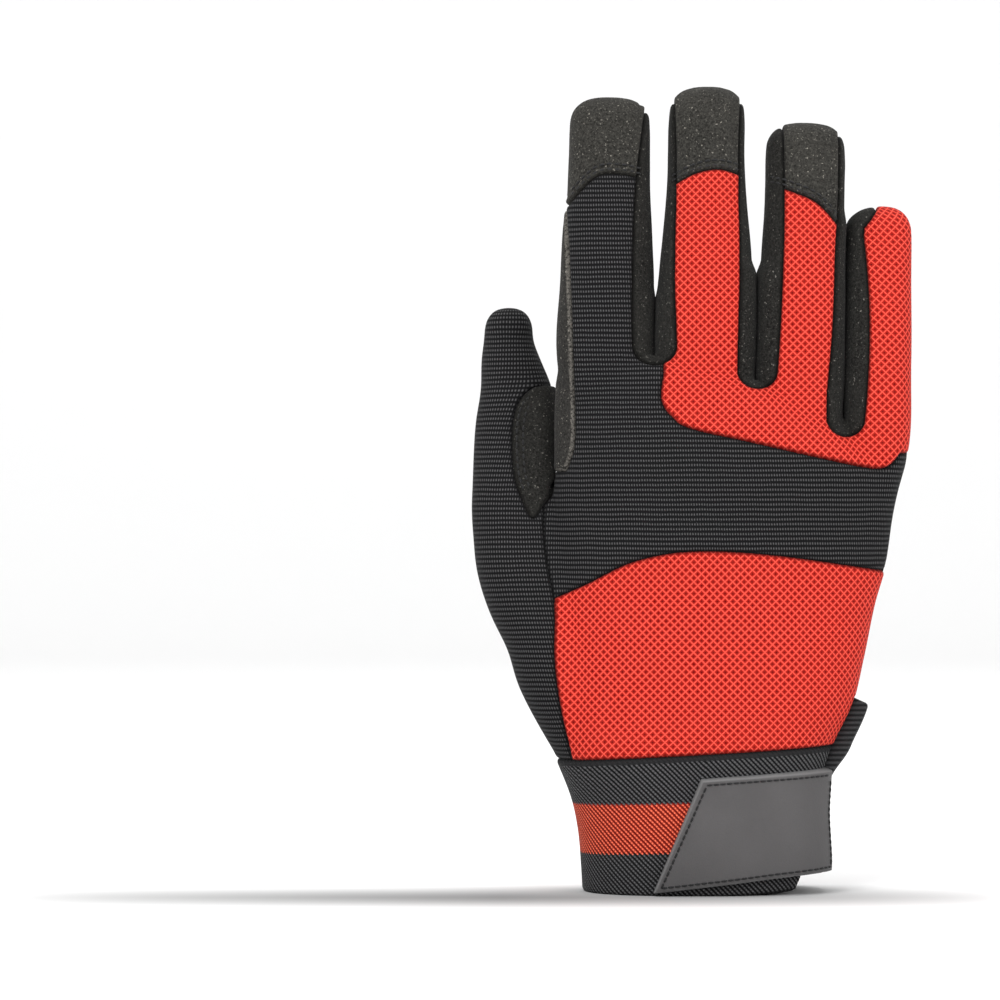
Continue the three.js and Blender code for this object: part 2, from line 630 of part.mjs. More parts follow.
const binding = sidePrism(ventOutline).subtract(sidePrism(slitOutline)).subtract(underBinding);
addPiece("vent_gusset", skin(gussetWall).intersect(binding), TAPE);
taken.push(sidePrism(ventOutline, seamGap), underCuff);
addPanel("cuff_elastic", elasticWall, ELASTIC, cuffCell);
addPanel("fourchette_index_middle", suedeWall, SUEDE, (gap) => stripCell(index, middle, gap));
addPanel("fourchette_middle_ring", suedeWall, SUEDE, (gap) => stripCell(middle, ring, gap));
addPanel("fourchette_ring_little", suedeWall, SUEDE, (gap) => stripCell(ring, little, gap));
addPanel("index_side_panel", suedeWall, SUEDE, indexStripCell);
addPanel("index_tip_cap", suedeWall, SUEDE, (gap) => capCell(index, "both", gap));
addPanel("middle_tip_cap", suedeWall, SUEDE, (gap) => capCell(middle, "back", gap));
addPanel("middle_tip_pad", suedeWall, SUEDE, (gap) => capCell(middle, "palm", gap));
addPanel("ring_tip_cap", suedeWall, SUEDE, (gap) => capCell(ring, "back", gap));
addPanel("thumb_crotch_patch", suedeWall, SUEDE, crotchCell);
addPanel("thumb_back_panel", knitWall, KNIT, thumbCell);
addPanel("palm_panel", suedeWall, SUEDE, palmSide);
addPanel("knuckle_mesh_panel", meshWall, NET, knuckleCell);
addPanel("hand_back_mesh_panel", meshWall, NET, handMeshCell);
addPanel("back_knit_panel", knitWall, KNIT);

const strapBase = gussetWall - suedeWall + seamGap;
const strapPalm = rectangle(cuffHalf - strapEnd, FAR, tabFoot(cuffHalf), tabTop(cuffHalf));
const strapCell = twoSided(tabOutline(strapInset, FAR), strapPalm, 0);
addPiece("wrist_strap", layer(strapBase, strapWall).intersect(strapCell), TAPE);

const tabBase = strapBase + strapWall + seamGap;
const thumbHalf = prism(rectangle(-FAR, OVERLAP, -FAR, FAR)).subtract(palmSide());
const beforeTabEnd = sidePrism(rectangle(-FAR, -tabEnd, -FAR, FAR)).add(thumbHalf);
const tabCell = prism(tabOutline(0, FAR)).intersect(beforeTabEnd);
addPiece("strap_tab", layer(tabBase, tabWall).intersect(tabCell), COATED);

export default glove;
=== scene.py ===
import math
from collections import namedtuple

import bmesh
import bpy
import numpy as np
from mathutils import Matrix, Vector
from mathutils.bvhtree import BVHTree
from mathutils.kdtree import KDTree


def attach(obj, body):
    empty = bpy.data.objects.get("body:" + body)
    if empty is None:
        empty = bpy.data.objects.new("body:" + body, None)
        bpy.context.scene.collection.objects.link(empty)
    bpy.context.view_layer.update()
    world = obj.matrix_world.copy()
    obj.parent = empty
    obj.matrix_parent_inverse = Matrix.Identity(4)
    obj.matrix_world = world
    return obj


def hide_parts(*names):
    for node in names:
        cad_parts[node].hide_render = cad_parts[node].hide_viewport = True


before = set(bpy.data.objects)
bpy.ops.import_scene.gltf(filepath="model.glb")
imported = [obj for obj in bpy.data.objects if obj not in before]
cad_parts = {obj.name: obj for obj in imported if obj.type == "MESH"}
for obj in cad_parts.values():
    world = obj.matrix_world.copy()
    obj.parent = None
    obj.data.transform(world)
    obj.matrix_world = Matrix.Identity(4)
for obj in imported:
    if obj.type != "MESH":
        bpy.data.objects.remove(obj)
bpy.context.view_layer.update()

# The looks of a right-hand mechanic glove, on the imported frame. The hand form and the seams repeat the
# frame's own sizes in millimetres: +Z up the fingers, +X to the little finger, -Y out of the back of the
# hand. Meshes are made in millimetres and scaled to metres last.
MM = 0.001

# Sizes of the hand form, outside the suede
CUFF_WIDTH = 75
CUFF_DEPTH = 50
CUFF_HEIGHT = 42.5
CUFF_SLOPE = 0.055
CUFF_LIFT = 3.5
PALM_HEIGHT = 119
PALM_DEPTH = 34
PALM_OFFSET = 8.9
PALM_ARCH = 4
THENAR_REACH = 26
THENAR_TURN = 12
CROTCH_SLOPE = 0.25
CROTCH_BOW = 14.8
FINGER_GAP = 2  # wider than the frame's, as the strips stand out into it
FINGER_CURL = 9
FINGER_DEPTH = 23
ROOT_DRAW = 0.5
TIP_ROUND = 9
THUMB_HEIGHT = 57.5
THUMB_WIDTH = 25
THUMB_THICKNESS = 26
THUMB_LEAN = 17

# How far each material's face stands over the suede's, and how its edges roll into a seam
SUEDE_WALL = 1.6
STRIP_RISE = 0.5
INDEX_SIDE_RISE = 0.9
CAP_RISE = 0.35
KNIT_RISE = 0.3
NET_RISE = 0.7
ELASTIC_RISE = 0.6
BINDING_RISE = 1.1
STRAP_RISE = 1.9
TAB_RISE = 3.2
SEAM_GAP = 0.3
SEAM_TUCK = 0.8
SEAM_ROLL = 1.4
SEAM_DEPTH = 0.9

# Seams, vent and strap
CROTCH_SEAM_DROP = 3.6
STRIP_END = 1
CONTACT_TOP = {"index": 182, "middle": 190, "ring": 206}  # each finger touches the next one below this
CONTACT_BLEND = 3
CONTACT_SQUASH = 0.1
CONTACT_REACH = 3.5
PRESS = 2  # how far the thumb's web bulges
ALLOWANCE = 0.3  # height of the fold in a cap's seam
LITTLE_HOOK = 0.6  # the seam turns over the little fingertip by this share of its half width
THUMB_SEAM_RISE = 0.45
CROTCH_PATCH_PAST = 4
EDGE_SHOWN = 1.6  # the palm's suede shows beside the little finger by this much, seen from the side
VENT_HEIGHT = 58.5
VENT_WIDTH = 33
VENT_TOP = 6
VENT_MIDDLE = -1
BINDING_WIDTH = 3.2
BINDING_FOOT = 9.1
BINDING_FLARE = 4.2  # how far the binding stands off above the strap
SLIT_DROP = 10
TAB_HEIGHT = 32
TAB_FOOT = 3.1
TAB_REACH = 16
TAB_RAKE = 14
TAB_END = 9
TAB_TOP_SLOPE = 0.07
TAB_FOOT_SLOPE = 0.126
STRAP_END = 13
STRAP_INSET = 2
TAB_LIFT = 2.2  # how far the tab's lower corner stands off the cuff

Finger = namedtuple("Finger", "width length lean taper")
FINGERS = {
    "index": Finger(30, 78.5, 1.5, 0.13),
    "middle": Finger(30.3, 84, 1, 0.2),
    "ring": Finger(26.8, 84.3, 3, 0.05),
    "little": Finger(21.2, 69, 1.6, 0.02),
}
# Seams of the strips between the fingers, as shares of the finger's half width, at its root, half way up
# and at its tip
STRIP_SEAMS_RIGHT = {
    "index": (0.6, 0.61, 0.98),
    "middle": (0.69, 0.79, 0.94),
    "ring": (0.68, 0.81, 0.87),
}
STRIP_SEAMS_LEFT = {
    "middle": (-0.64, -0.78, -0.94),
    "ring": (-0.62, -0.55, -0.66),
    "little": (-0.52, -0.38, -0.74),
}
CAP_SEAMS_BACK = {
    "index": (0.575, 0.68, 0.69, 0.665),
    "middle": (0.63, 0.68, 0.695, 0.67),
    "ring": (0.775, 0.745, 0.7, 0.6),
}
CAP_SEAMS_PALM = {
    "index": (0.575, 0.55, 0.575, 0.595),
    "middle": (0.625, 0.615, 0.62, 0.66),
}

CuffSection = namedtuple("CuffSection", "up left right back palm")
CUFF_SECTIONS = [
    CuffSection(-0.2, 0.985, 0.9, 0.96, 0.96),
    CuffSection(0, 0.985, 0.9, 0.96, 0.96),
    CuffSection(0.22, 1, 0.93, 0.98, 0.98),
    CuffSection(0.45, 1.02, 0.95, 0.98, 0.98),
    CuffSection(0.68, 1.07, 0.97, 0.98, 0.98),
    CuffSection(0.86, 1.14, 0.99, 0.99, 0.99),
    CuffSection(1, 1.2, 1.04, 1, 1),
]
PalmSection = namedtuple("PalmSection", "up mix left right back palm bow")
PALM_SECTIONS = [
    PalmSection(0.1, 0.3, 1.17, 0.98, 1.02, 1.04, 0),
    PalmSection(0.23, 0.5, 1.123, 0.95, 1, 1.06, 0),
    PalmSection(0.37, 0.75, 1.07, 0.9, 1, 1.1, 0),
    PalmSection(0.48, 0.9, 1.045, 0.9, 1, 1.12, 0),
    PalmSection(0.585, 1, 1.03, 0.89, 1, 1.1, 0),
    PalmSection(0.67, 1, 1.015, 0.92, 1, 1.08, 0.1),
    PalmSection(0.74, 1, 1, 0.945, 0.98, 1.04, 0.25),
    PalmSection(0.81, 1, 1, 0.96, 0.93, 0.98, 0.5),
    PalmSection(0.9, 1, 0.995, 0.975, 0.83, 0.87, 0.8),
    PalmSection(0.96, 1, 0.98, 0.97, 0.68, 0.7, 1),
    PalmSection(0.99, 1, 0.95, 0.94, 0.4, 0.4, 1),
]
FingerSection = namedtuple("FingerSection", "along narrow depth")
FINGER_SECTIONS = [
    FingerSection(-0.3, 0.7, 0.86),
    FingerSection(-0.04, 0, 1),
    FingerSection(0.28, 0.1, 0.99),
    FingerSection(0.45, 0.45, 0.96),
    FingerSection(0.6, 0.8, 0.92),
    FingerSection(0.78, 1, 0.85),
    FingerSection(0.9, 1.1, 0.78),
]
ThumbSection = namedtuple("ThumbSection", "along side lean thickness width")
THUMB_SECTIONS = [
    ThumbSection(-1.44, -0.45, -0.7, 0.77, 1.28),
    ThumbSection(-1.235, -0.305, -0.62, 1, 1.36),
    ThumbSection(-1.03, -0.165, -0.53, 1.19, 1.4),
    ThumbSection(-0.82, -0.075, -0.41, 1.31, 1.4),
    ThumbSection(-0.61, 0.087, -0.265, 1.42, 1.36),
    ThumbSection(-0.4, 0.225, -0.15, 1.42, 1.3),
    ThumbSection(-0.227, 0.317, -0.06, 1.31, 1.2),
    ThumbSection(-0.087, 0.413, 0, 1.15, 1.11),
    ThumbSection(0.07, 0.49, 0.14, 0.97, 1.06),
    ThumbSection(0.2, 0.49, 0.28, 0.95, 1.04),
    ThumbSection(0.38, 0.475, 0.47, 0.93, 1.02),
    ThumbSection(0.57, 0.475, 0.66, 0.82, 0.98),
    ThumbSection(0.74, 0.545, 0.84, 0.66, 0.92),
    ThumbSection(0.84, 0.57, 0.93, 0.56, 0.84),
]

# Seams on the hand, each point across from the palm's middle and up from the cuff, as shares
KNUCKLE_SEAM = [
    (-0.4, 0.97), (-0.415, 0.9), (-0.356, 0.857), (-0.25, 0.827),
    (0.135, 0.788), (0.654, 0.736), (0.84, 0.728), (0.93, 0.765),
]
HAND_NET_TOP = [
    (-1.008, 0.393), (-0.836, 0.428), (-0.576, 0.485),
    (-0.255, 0.511), (0.202, 0.502), (0.823, 0.462),
]
HAND_NET_LEFT = [(-1.018, 0.3), (-0.999, 0.159), (-0.965, 0.069), (-0.915, -0.02)]
THUMB_SEAM = [
    (-1.073, 0.63), (-1.078, 0.56), (-1.058, 0.48), (-1.016, 0.37),
    (-1.018, 0.25), (-0.999, 0.159), (-0.965, 0.069), (-0.9, -0.05),
]
THUMB_PALM_SEAM = [
    (-1.5, 0.73), (-1.383, 0.634), (-1.18, 0.483),
    (-0.977, 0.315), (-0.811, 0.147), (-0.62, -0.05),
]
INDEX_STRIP_BACK = [(-0.95, 1.395), (-0.92, 1.034), (-0.906, 0.855), (-0.915, 0.775), (-0.955, 0.72)]
INDEX_STRIP_PALM = [
    (-0.95, 1.395), (-0.847, 1.312), (-0.802, 1.2), (-0.813, 1.029),
    (-0.84, 0.84), (-0.9, 0.76), (-0.97, 0.722),
]
CROTCH_OVAL = [
    (-1.015, 0.925), (-1.06, 0.935), (-1.14, 0.93), (-1.215, 0.895), (-1.248, 0.83),
    (-1.242, 0.721), (-1.208, 0.662), (-1.14, 0.6), (-1.078, 0.635), (-1.02, 0.69),
]

FAR = 300  # past any face of the glove
SQUARENESS = 2.5  # of a section: 2 is an ellipse, more is boxier
WEB_SHARE = 0.66  # height of the thumb's web, as a share of the palm's
LAST_CROTCH = 0.67  # the crotch line is level past this share of the palm's half width
ROOT_START = 0.12  # the fingers' hidden roots draw together from this share of a length down
CROTCH_ROUND = 1.5  # free height under a crotch before its strip turns
SIDES = 80  # of each section of the form
RING_STEPS = 5  # rings made between two sections
VOXEL = 0.95  # edge length of the form's mesh

CUFF_HALF = CUFF_WIDTH / 2
PALM_HALF = sum(finger.width for finger in FINGERS.values()) / 2
PALM_LEFT = PALM_OFFSET - PALM_HALF
CROTCH_TOP = CUFF_HEIGHT + PALM_HEIGHT
WEB_HEIGHT = CUFF_HEIGHT + WEB_SHARE * PALM_HEIGHT
THUMB_SIDE = PALM_LEFT - SEAM_GAP


def arch_at(x):
    return PALM_ARCH * ((x - PALM_OFFSET) / PALM_HALF) ** 2


def crotch_line(x):
    across = np.clip(x, PALM_LEFT, PALM_OFFSET + LAST_CROTCH * PALM_HALF)
    return CROTCH_TOP - CROTCH_SLOPE * across - CROTCH_BOW * (across / PALM_HALF) ** 2


def table_value(rows, at, key, value):
    places = [getattr(row, at) for row in rows]
    return np.interp(value, places, [getattr(row, key) for row in rows])


def smooth_step(value, low, high):
    t = np.clip((value - low) / (high - low), 0, 1)
    return t * t * (3 - 2 * t)


def section_ring(left, right, back, palm):
    """The x and y of a rounded-box section's points, from its thumb side round by the back."""
    angle = np.pi + 2 * np.pi * np.arange(SIDES) / SIDES
    across = np.sign(np.cos(angle)) * np.abs(np.cos(angle)) ** (2 / SQUARENESS)
    deep = np.sign(np.sin(angle)) * np.abs(np.sin(angle)) ** (2 / SQUARENESS)
    x = (left + right) / 2 + across * (right - left) / 2
    return x, np.where(deep > 0, deep * palm, deep * back)


def hand_rings():
    rings = []
    for row in CUFF_SECTIONS:
        sides = -row.left * CUFF_HALF, row.right * CUFF_HALF
        x, y = section_ring(*sides, row.back * CUFF_DEPTH / 2, row.palm * CUFF_DEPTH / 2)
        rings.append(np.column_stack([x, y, row.up * (CUFF_HEIGHT + CUFF_SLOPE * x)]))
    for row in PALM_SECTIONS:
        half = CUFF_HALF + (PALM_HALF - CUFF_HALF) * row.mix
        depth = (CUFF_DEPTH + (PALM_DEPTH - CUFF_DEPTH) * row.mix) / 2
        middle = row.mix * PALM_OFFSET
        sides = middle - row.left * half, middle + row.right * half
        x, y = section_ring(*sides, row.back * depth, row.palm * depth)
        z = CUFF_HEIGHT + row.up * PALM_HEIGHT + row.bow * (crotch_line(x) - CROTCH_TOP)
        rings.append(np.column_stack([x, y + row.mix * arch_at(x), z + (1 - row.up) * CUFF_SLOPE * x]))
    return rings


class Limb:
    """A finger or the thumb: its middle line and half sizes at a height, and the rings of its form."""

    def rings(self):
        dome_start = self.tip - TIP_ROUND
        rings = [self.ring(z, 1, z) for z in self.heights if z < dome_start - 1]
        for angle in np.linspace(0, 0.88 * np.pi / 2, 6):
            rise = math.sin(angle) ** (2 / SQUARENESS)
            scale = math.cos(angle) ** (2 / SQUARENESS)
            rings.append(self.ring(dome_start + rise * TIP_ROUND, scale, dome_start))
        return rings

    def ring(self, z, scale, at):
        wide, deep = self.wide(at) * scale, self.deep(at) * scale
        x, y = section_ring(self.x(z) - wide, self.x(z) + wide, deep, deep)
        return np.column_stack([x, self.y(z) + y, np.full(SIDES, z)])


class FingerForm(Limb):
    def __init__(self, name, start):
        self.name, self.size = name, FINGERS[name]
        self.start, self.end = start, start + self.size.width
        self.middle = (self.start + self.end) / 2
        self.root = float(crotch_line(self.middle))
        self.tip = self.root + self.size.length
        self.heights = [self.at(row.along) for row in FINGER_SECTIONS]

    def along(self, z):
        return (z - self.root) / self.size.length

    def at(self, along):
        return self.root + along * self.size.length

    def x(self, z):
        along = self.along(z)
        drawn = ROOT_DRAW * (self.middle - PALM_OFFSET) * min(0, along + ROOT_START)
        return self.middle + self.size.lean * max(0, along) + drawn

    def y(self, z):
        return arch_at(self.middle) + FINGER_CURL * max(0, self.along(z)) ** 2

    def wide(self, z):
        narrow = table_value(FINGER_SECTIONS, "along", "narrow", self.along(z))
        return (self.size.width - FINGER_GAP) / 2 * (1 - self.size.taper * narrow)

    def deep(self, z):
        return FINGER_DEPTH / 2 * table_value(FINGER_SECTIONS, "along", "depth", self.along(z))


class ThumbForm(Limb):
    tip = WEB_HEIGHT + THUMB_HEIGHT
    heights = [WEB_HEIGHT + row.along * THUMB_HEIGHT for row in THUMB_SECTIONS]

    def share(self, key, z):
        return table_value(THUMB_SECTIONS, "along", key, (z - WEB_HEIGHT) / THUMB_HEIGHT)

    def x(self, z):
        return PALM_LEFT - THENAR_REACH * self.share("side", z)

    def y(self, z):
        return THENAR_TURN + THUMB_LEAN * self.share("lean", z)

    def wide(self, z):
        return THUMB_THICKNESS / 2 * self.share("thickness", z)

    def deep(self, z):
        return THUMB_WIDTH / 2 * self.share("width", z)


def place_fingers():
    placed, edge = {}, PALM_LEFT
    for name, size in FINGERS.items():
        placed[name] = FingerForm(name, edge)
        edge += size.width
    return placed


fingers = place_fingers()
thumb = ThumbForm()
workshop = []  # objects that are only used while making the pieces


def refined(rings):
    """More rings between the given ones, on smooth curves through them."""
    rings = np.array(rings)
    place = np.concatenate([[0], np.cumsum(np.linalg.norm(np.diff(rings.mean(1), axis=0), axis=1) + 0.01)])
    slopes = np.gradient(rings, place, axis=0)
    made = []
    for i in range(len(rings) - 1):
        step = place[i + 1] - place[i]
        for t in np.arange(RING_STEPS) / RING_STEPS:
            smooth = t * t * (3 - 2 * t)
            bend = t * (1 - t) * step * ((1 - t) * slopes[i] - t * slopes[i + 1])
            made.append(rings[i] * (1 - smooth) + rings[i + 1] * smooth + bend)
    return [*made, rings[-1]]


def mesh_object(name, points, faces):
    mesh = bpy.data.meshes.new(name)
    mesh.from_pydata([tuple(map(float, p)) for p in points], [], faces)
    obj = bpy.data.objects.new(name, mesh)
    bpy.context.scene.collection.objects.link(obj)
    return obj


def cutter(points, faces):
    obj = mesh_object("cutter", points, faces)
    obj.data.materials.append(cut_mark)
    workshop.append(obj)
    return obj


def tube_faces(sides, count):
    """The faces of a closed solid through that many rings."""
    faces = [tuple(reversed(range(sides))), tuple((count - 1) * sides + i for i in range(sides))]
    for r in range(count - 1):
        for i in range(sides):
            a, b = r * sides + i, r * sides + (i + 1) % sides
            faces.append((a, b, b + sides, a + sides))
    return faces


def loft(rings):
    """A closed solid through rings of points."""
    return cutter(np.concatenate(rings), tube_faces(len(rings[0]), len(rings)))


def combined(base, *steps):
    """The base solid after boolean steps, each an operation with another solid."""
    for operation, other in steps:
        modifier = base.modifiers.new("step", "BOOLEAN")
        modifier.solver = "MANIFOLD"
        modifier.material_mode = "TRANSFER"
        modifier.operation = operation
        modifier.object = other
    mesh = evaluated(base)
    base.modifiers.clear()
    made = bpy.data.objects.new("solid", mesh)
    bpy.context.scene.collection.objects.link(made)
    workshop.append(made)
    return made


def evaluated(obj):
    depsgraph = bpy.context.evaluated_depsgraph_get()
    return bpy.data.meshes.new_from_object(obj.evaluated_get(depsgraph), depsgraph=depsgraph)


def make_form():
    """The whole hand form as one fine mesh, with its crotches blended."""
    limbs = [loft(refined(limb.rings())) for limb in [*fingers.values(), thumb]]
    hand = combined(loft(refined(hand_rings())), *[("UNION", limb) for limb in limbs])
    remesh = hand.modifiers.new("even", "REMESH")
    remesh.mode = "VOXEL"
    remesh.voxel_size = VOXEL
    remesh.adaptivity = 0
    smooth = hand.modifiers.new("smooth", "SMOOTH")
    smooth.factor = 0.5
    smooth.iterations = 10
    form = bpy.data.objects.new("form", evaluated(hand))
    form.data.materials.clear()
    form.data.materials.append(form_mark)
    bpy.context.scene.collection.objects.link(form)
    workshop.append(form)
    return form


def outset(outline, gap):
    """An outline moved out by gap, square to its edges, and put counter-clockwise."""
    outline = np.array(outline, float)
    after = np.roll(outline, -1, 0)
    if np.sum(outline[:, 0] * after[:, 1] - after[:, 0] * outline[:, 1]) < 0:
        outline = outline[::-1]
    edges = np.roll(outline, -1, 0) - outline
    edges /= np.linalg.norm(edges, axis=1)[:, None]
    along = edges + np.roll(edges, 1, 0)
    along /= np.linalg.norm(along, axis=1)[:, None]
    return outline + gap * np.column_stack([along[:, 1], -along[:, 0]])


def extruded(low, high):
    """A closed solid between two matching outlines in space."""
    count = len(low)
    faces = [tuple(range(count)), tuple(reversed(range(count, 2 * count)))]
    for i in range(count):
        j = (i + 1) % count
        faces.append((i, i + count, j + count, j))
    return cutter(np.concatenate([low, high]), faces)


def prism(outline, gap=0):
    """A prism right through the hand, front to back, over an outline in X and Z."""
    flat = outset(outline, gap)
    ends = [np.column_stack([flat[:, 0], np.full(len(flat), y), flat[:, 1]]) for y in (-FAR, FAR)]
    return extruded(*ends)


def side_prism(outline, gap=0, start=0):
    """A prism out past the little finger's side, over an outline in Y and Z."""
    flat = outset(outline, gap)[::-1]
    ends = [np.column_stack([np.full(len(flat), x), flat[:, 0], flat[:, 1]]) for x in (start, FAR)]
    return extruded(*ends)


def rectangle(left, right, bottom, top):
    return [(left, bottom), (right, bottom), (right, top), (left, top)]


def slab(places, heights, middle, gap):
    """The space on the palm side of a surface given by its y at places across and heights."""
    rings = []
    for z in heights:
        front = [(x, middle(x, z) - gap, z) for x in places]
        rings.append(np.array([*front, (places[-1], FAR, z), (places[0], FAR, z)], float))
    return loft(rings)


def palm_side(gap=0):
    """The half of the hand form on the palm side of its side seams."""
    mixes = [(row.up * CUFF_HEIGHT, 0) for row in CUFF_SECTIONS]
    mixes += [(CUFF_HEIGHT + row.up * PALM_HEIGHT, row.mix) for row in PALM_SECTIONS]

    def hand_middle(x, z):
        mix = np.interp(z, *zip(*mixes))
        shown = EDGE_SHOWN * smooth_step(x, fingers["little"].middle, fingers["little"].end)
        return mix * (arch_at(np.clip(x, THUMB_SIDE, fingers["little"].middle)) - shown)

    def thumb_middle(x, z):
        return thumb.y(z) + THUMB_SEAM_RISE * (thumb.x(z) - max(x, PALM_LEFT - THENAR_REACH))

    across = [PALM_OFFSET + share * PALM_HALF for share in (-0.5, 0, 0.45, 0.8, 0.95)]
    heights = np.linspace(mixes[0][0], CROTCH_TOP, 16)
    hand = slab([THUMB_SIDE, *across, FAR], heights, hand_middle, gap)
    steps = []
    for name, finger in fingers.items():
        start = THUMB_SIDE if name == "index" else finger.start
        end = FAR if name == "little" else finger.end
        steps.append(("DIFFERENCE", prism(rectangle(start, end, finger.at(0.05), FAR))))
        places = [finger.at(along) for along in (-0.06, 0.1, 0.3, 0.45, 0.6, 0.72, 0.85, 0.95, 1.2)]
        shown = EDGE_SHOWN if name == "little" else 0
        steps.append(("UNION", slab([start, end], places, lambda x, z: finger.y(z) - shown, gap)))
    thumb_across = [-FAR, PALM_LEFT - THENAR_REACH, THUMB_SIDE]
    steps.append(("UNION", slab(thumb_across, [-FAR, *thumb.heights, FAR], thumb_middle, gap)))
    cuts = [step for step in steps if step[0] == "DIFFERENCE"]
    joins = [step for step in steps if step[0] == "UNION"]
    return combined(hand, *cuts, *joins)


def on_hand(point):
    return PALM_OFFSET + point[0] * PALM_HALF, CUFF_HEIGHT + point[1] * PALM_HEIGHT


def curve(points, steps=48):
    """Points on a smooth curve through the given ones."""
    points = np.array(points, float)
    padded = np.concatenate([points[:1], points, points[-1:]])
    made = []
    for place in np.linspace(0, len(points) - 1, steps + 1):
        i = min(int(place), len(points) - 2)
        t = place - i
        a, b, c, d = padded[i : i + 4]
        bend = (c - a) * t + (2 * a - 5 * b + 4 * c - d) * t**2 + (3 * b - a - 3 * c + d) * t**3
        made.append(b + bend / 2)
    return np.array(made)


def two_sided(back, palm, gap):
    """A cell with one outline on the back and another on the palm side of the side seams."""
    behind = combined(prism(back, gap), ("DIFFERENCE", palm_side(-gap)))
    if palm is None:
        return behind
    front = combined(prism(palm, gap), ("INTERSECT", palm_side(gap + 0.01)))
    return combined(behind, ("UNION", front))


def strip_seam(finger, seams, z):
    root, middle, tip = seams[finger.name]
    along = max(0, finger.along(z))
    bow = 4 * along * (1 - along) * (middle - (root + tip) / 2)
    hook = LITTLE_HOOK * smooth_step(along, 0.88, 1) if finger.name == "little" else 0
    return finger.x(z) + finger.wide(z) * (root + (tip - root) * along + bow + hook), z


def strip_cell(low_name, high_name, gap):
    """The strip between two fingers: up the side of each, and under their crotch."""
    low, high = fingers[low_name], fingers[high_name]
    turn = float(crotch_line(low.end)) + CROTCH_ROUND
    down = [strip_seam(low, STRIP_SEAMS_RIGHT, z) for z in np.linspace(low.tip - STRIP_END, turn, 24)]
    up = [strip_seam(high, STRIP_SEAMS_LEFT, z) for z in np.linspace(turn, high.tip - STRIP_END, 24)]
    middle, half = (down[-1][0] + up[0][0]) / 2, (up[0][0] - down[-1][0]) / 2
    drop = CROTCH_ROUND + CROTCH_SEAM_DROP
    angles = np.linspace(math.pi, 2 * math.pi, 20)[1:-1]
    under = [(middle + half * math.cos(a), turn + drop * math.sin(a)) for a in angles]
    left, right = down[0], up[-1]
    corner = (right[0], left[1]) if left[1] > right[1] else (left[0], right[1])
    return prism([*down, *under, *up, corner], gap)


def cap_outline(finger, shares):
    seam = []
    for place, along in zip(np.linspace(-1, 1, len(shares)), shares):
        z = finger.at(along)
        seam.append((finger.x(z) + place * finger.wide(z), z))
    line = curve(seam, 24)
    left, right = line[0][0] - FINGER_GAP / 2, line[-1][0] + FINGER_GAP / 2
    return [(left, line[0][1]), *line, (right, line[-1][1]), (right, FAR), (left, FAR)]


def cap_cell(name, sides, gap):
    finger = fingers[name]
    if sides == "palm":
        return combined(prism(cap_outline(finger, CAP_SEAMS_PALM[name]), gap), ("INTERSECT", palm_side(gap)))
    palm = cap_outline(finger, CAP_SEAMS_PALM[name]) if sides == "both" else None
    return two_sided(cap_outline(finger, CAP_SEAMS_BACK[name]), palm, gap)


def index_strip_cell(gap):
    def outline(seam):
        line = curve([on_hand(p) for p in seam])
        return [(THUMB_SIDE, line[0][1]), *line, (THUMB_SIDE, line[-1][1])]

    return two_sided(outline(INDEX_STRIP_BACK), outline(INDEX_STRIP_PALM), gap)


def crotch_cell(gap):
    oval = curve([on_hand(p) for p in [*CROTCH_OVAL, CROTCH_OVAL[0]]], 60)[:-1]
    rings = []
    for along in (-0.4, 0, 0.4, 0.9):
        z = WEB_HEIGHT + along * THUMB_HEIGHT
        y = thumb.y(z) + CROTCH_PATCH_PAST + gap
        rings.append(np.array([(-FAR, y, z), (FAR, y, z), (FAR, FAR, z), (-FAR, FAR, z)], float))
    return combined(prism(oval, gap), ("DIFFERENCE", loft(rings)))


def thumb_cell(gap):
    back = curve([on_hand(p) for p in THUMB_SEAM])
    palm = curve([on_hand(p) for p in THUMB_PALM_SEAM])
    top = [(-FAR, FAR), (THUMB_SIDE, FAR), (THUMB_SIDE, on_hand(INDEX_STRIP_BACK[-1])[1])]
    back_outline = [*top, *back, (-FAR, back[-1][1])]
    return two_sided(back_outline, [*palm, (-FAR, palm[-1][1]), (-FAR, palm[0][1])], gap)


def knuckle_cell(gap):
    line = curve([on_hand(p) for p in KNUCKLE_SEAM], 80)
    return two_sided([*line, (FAR, line[-1][1]), (FAR, FAR), (line[0][0], FAR)], None, gap)


def hand_net_cell(gap):
    left = curve([on_hand(p) for p in HAND_NET_LEFT])[::-1]
    top = curve([on_hand(p) for p in HAND_NET_TOP])
    return two_sided([*left, *top, (FAR, top[-1][1]), (FAR, left[0][1])], None, gap)


def cuff_top(x):
    return CUFF_HEIGHT + CUFF_SLOPE * x


def cuff_foot():
    return [(share * CUFF_HALF, CUFF_LIFT * share**2) for share in np.linspace(0, 1.1, 10)]


def cuff_cell(gap):
    foot = cuff_foot()
    end = foot[-1][1]
    return prism([(-FAR, 0), *foot, (FAR, end), (FAR, cuff_top(FAR)), (-FAR, cuff_top(-FAR))], gap)


def under_foot(gap):
    """The space under the cuff's lower edge."""
    foot = cuff_foot()
    return prism([(-FAR, -FAR), (FAR, -FAR), (FAR, foot[-1][1]), *foot[::-1], (-FAR, 0)], gap)


VENT_OUTLINE = [
    (VENT_MIDDLE - VENT_WIDTH / 2, 0),
    (VENT_MIDDLE + VENT_WIDTH / 2, 0),
    (VENT_MIDDLE + VENT_TOP / 2, VENT_HEIGHT),
    (VENT_MIDDLE - VENT_TOP / 2, VENT_HEIGHT),
]
SLIT_OUTLINE = [
    (VENT_MIDDLE - VENT_WIDTH / 2 + BINDING_WIDTH, 0),
    (VENT_MIDDLE + VENT_WIDTH / 2 - BINDING_WIDTH, 0),
    (VENT_MIDDLE, VENT_HEIGHT - SLIT_DROP),
]


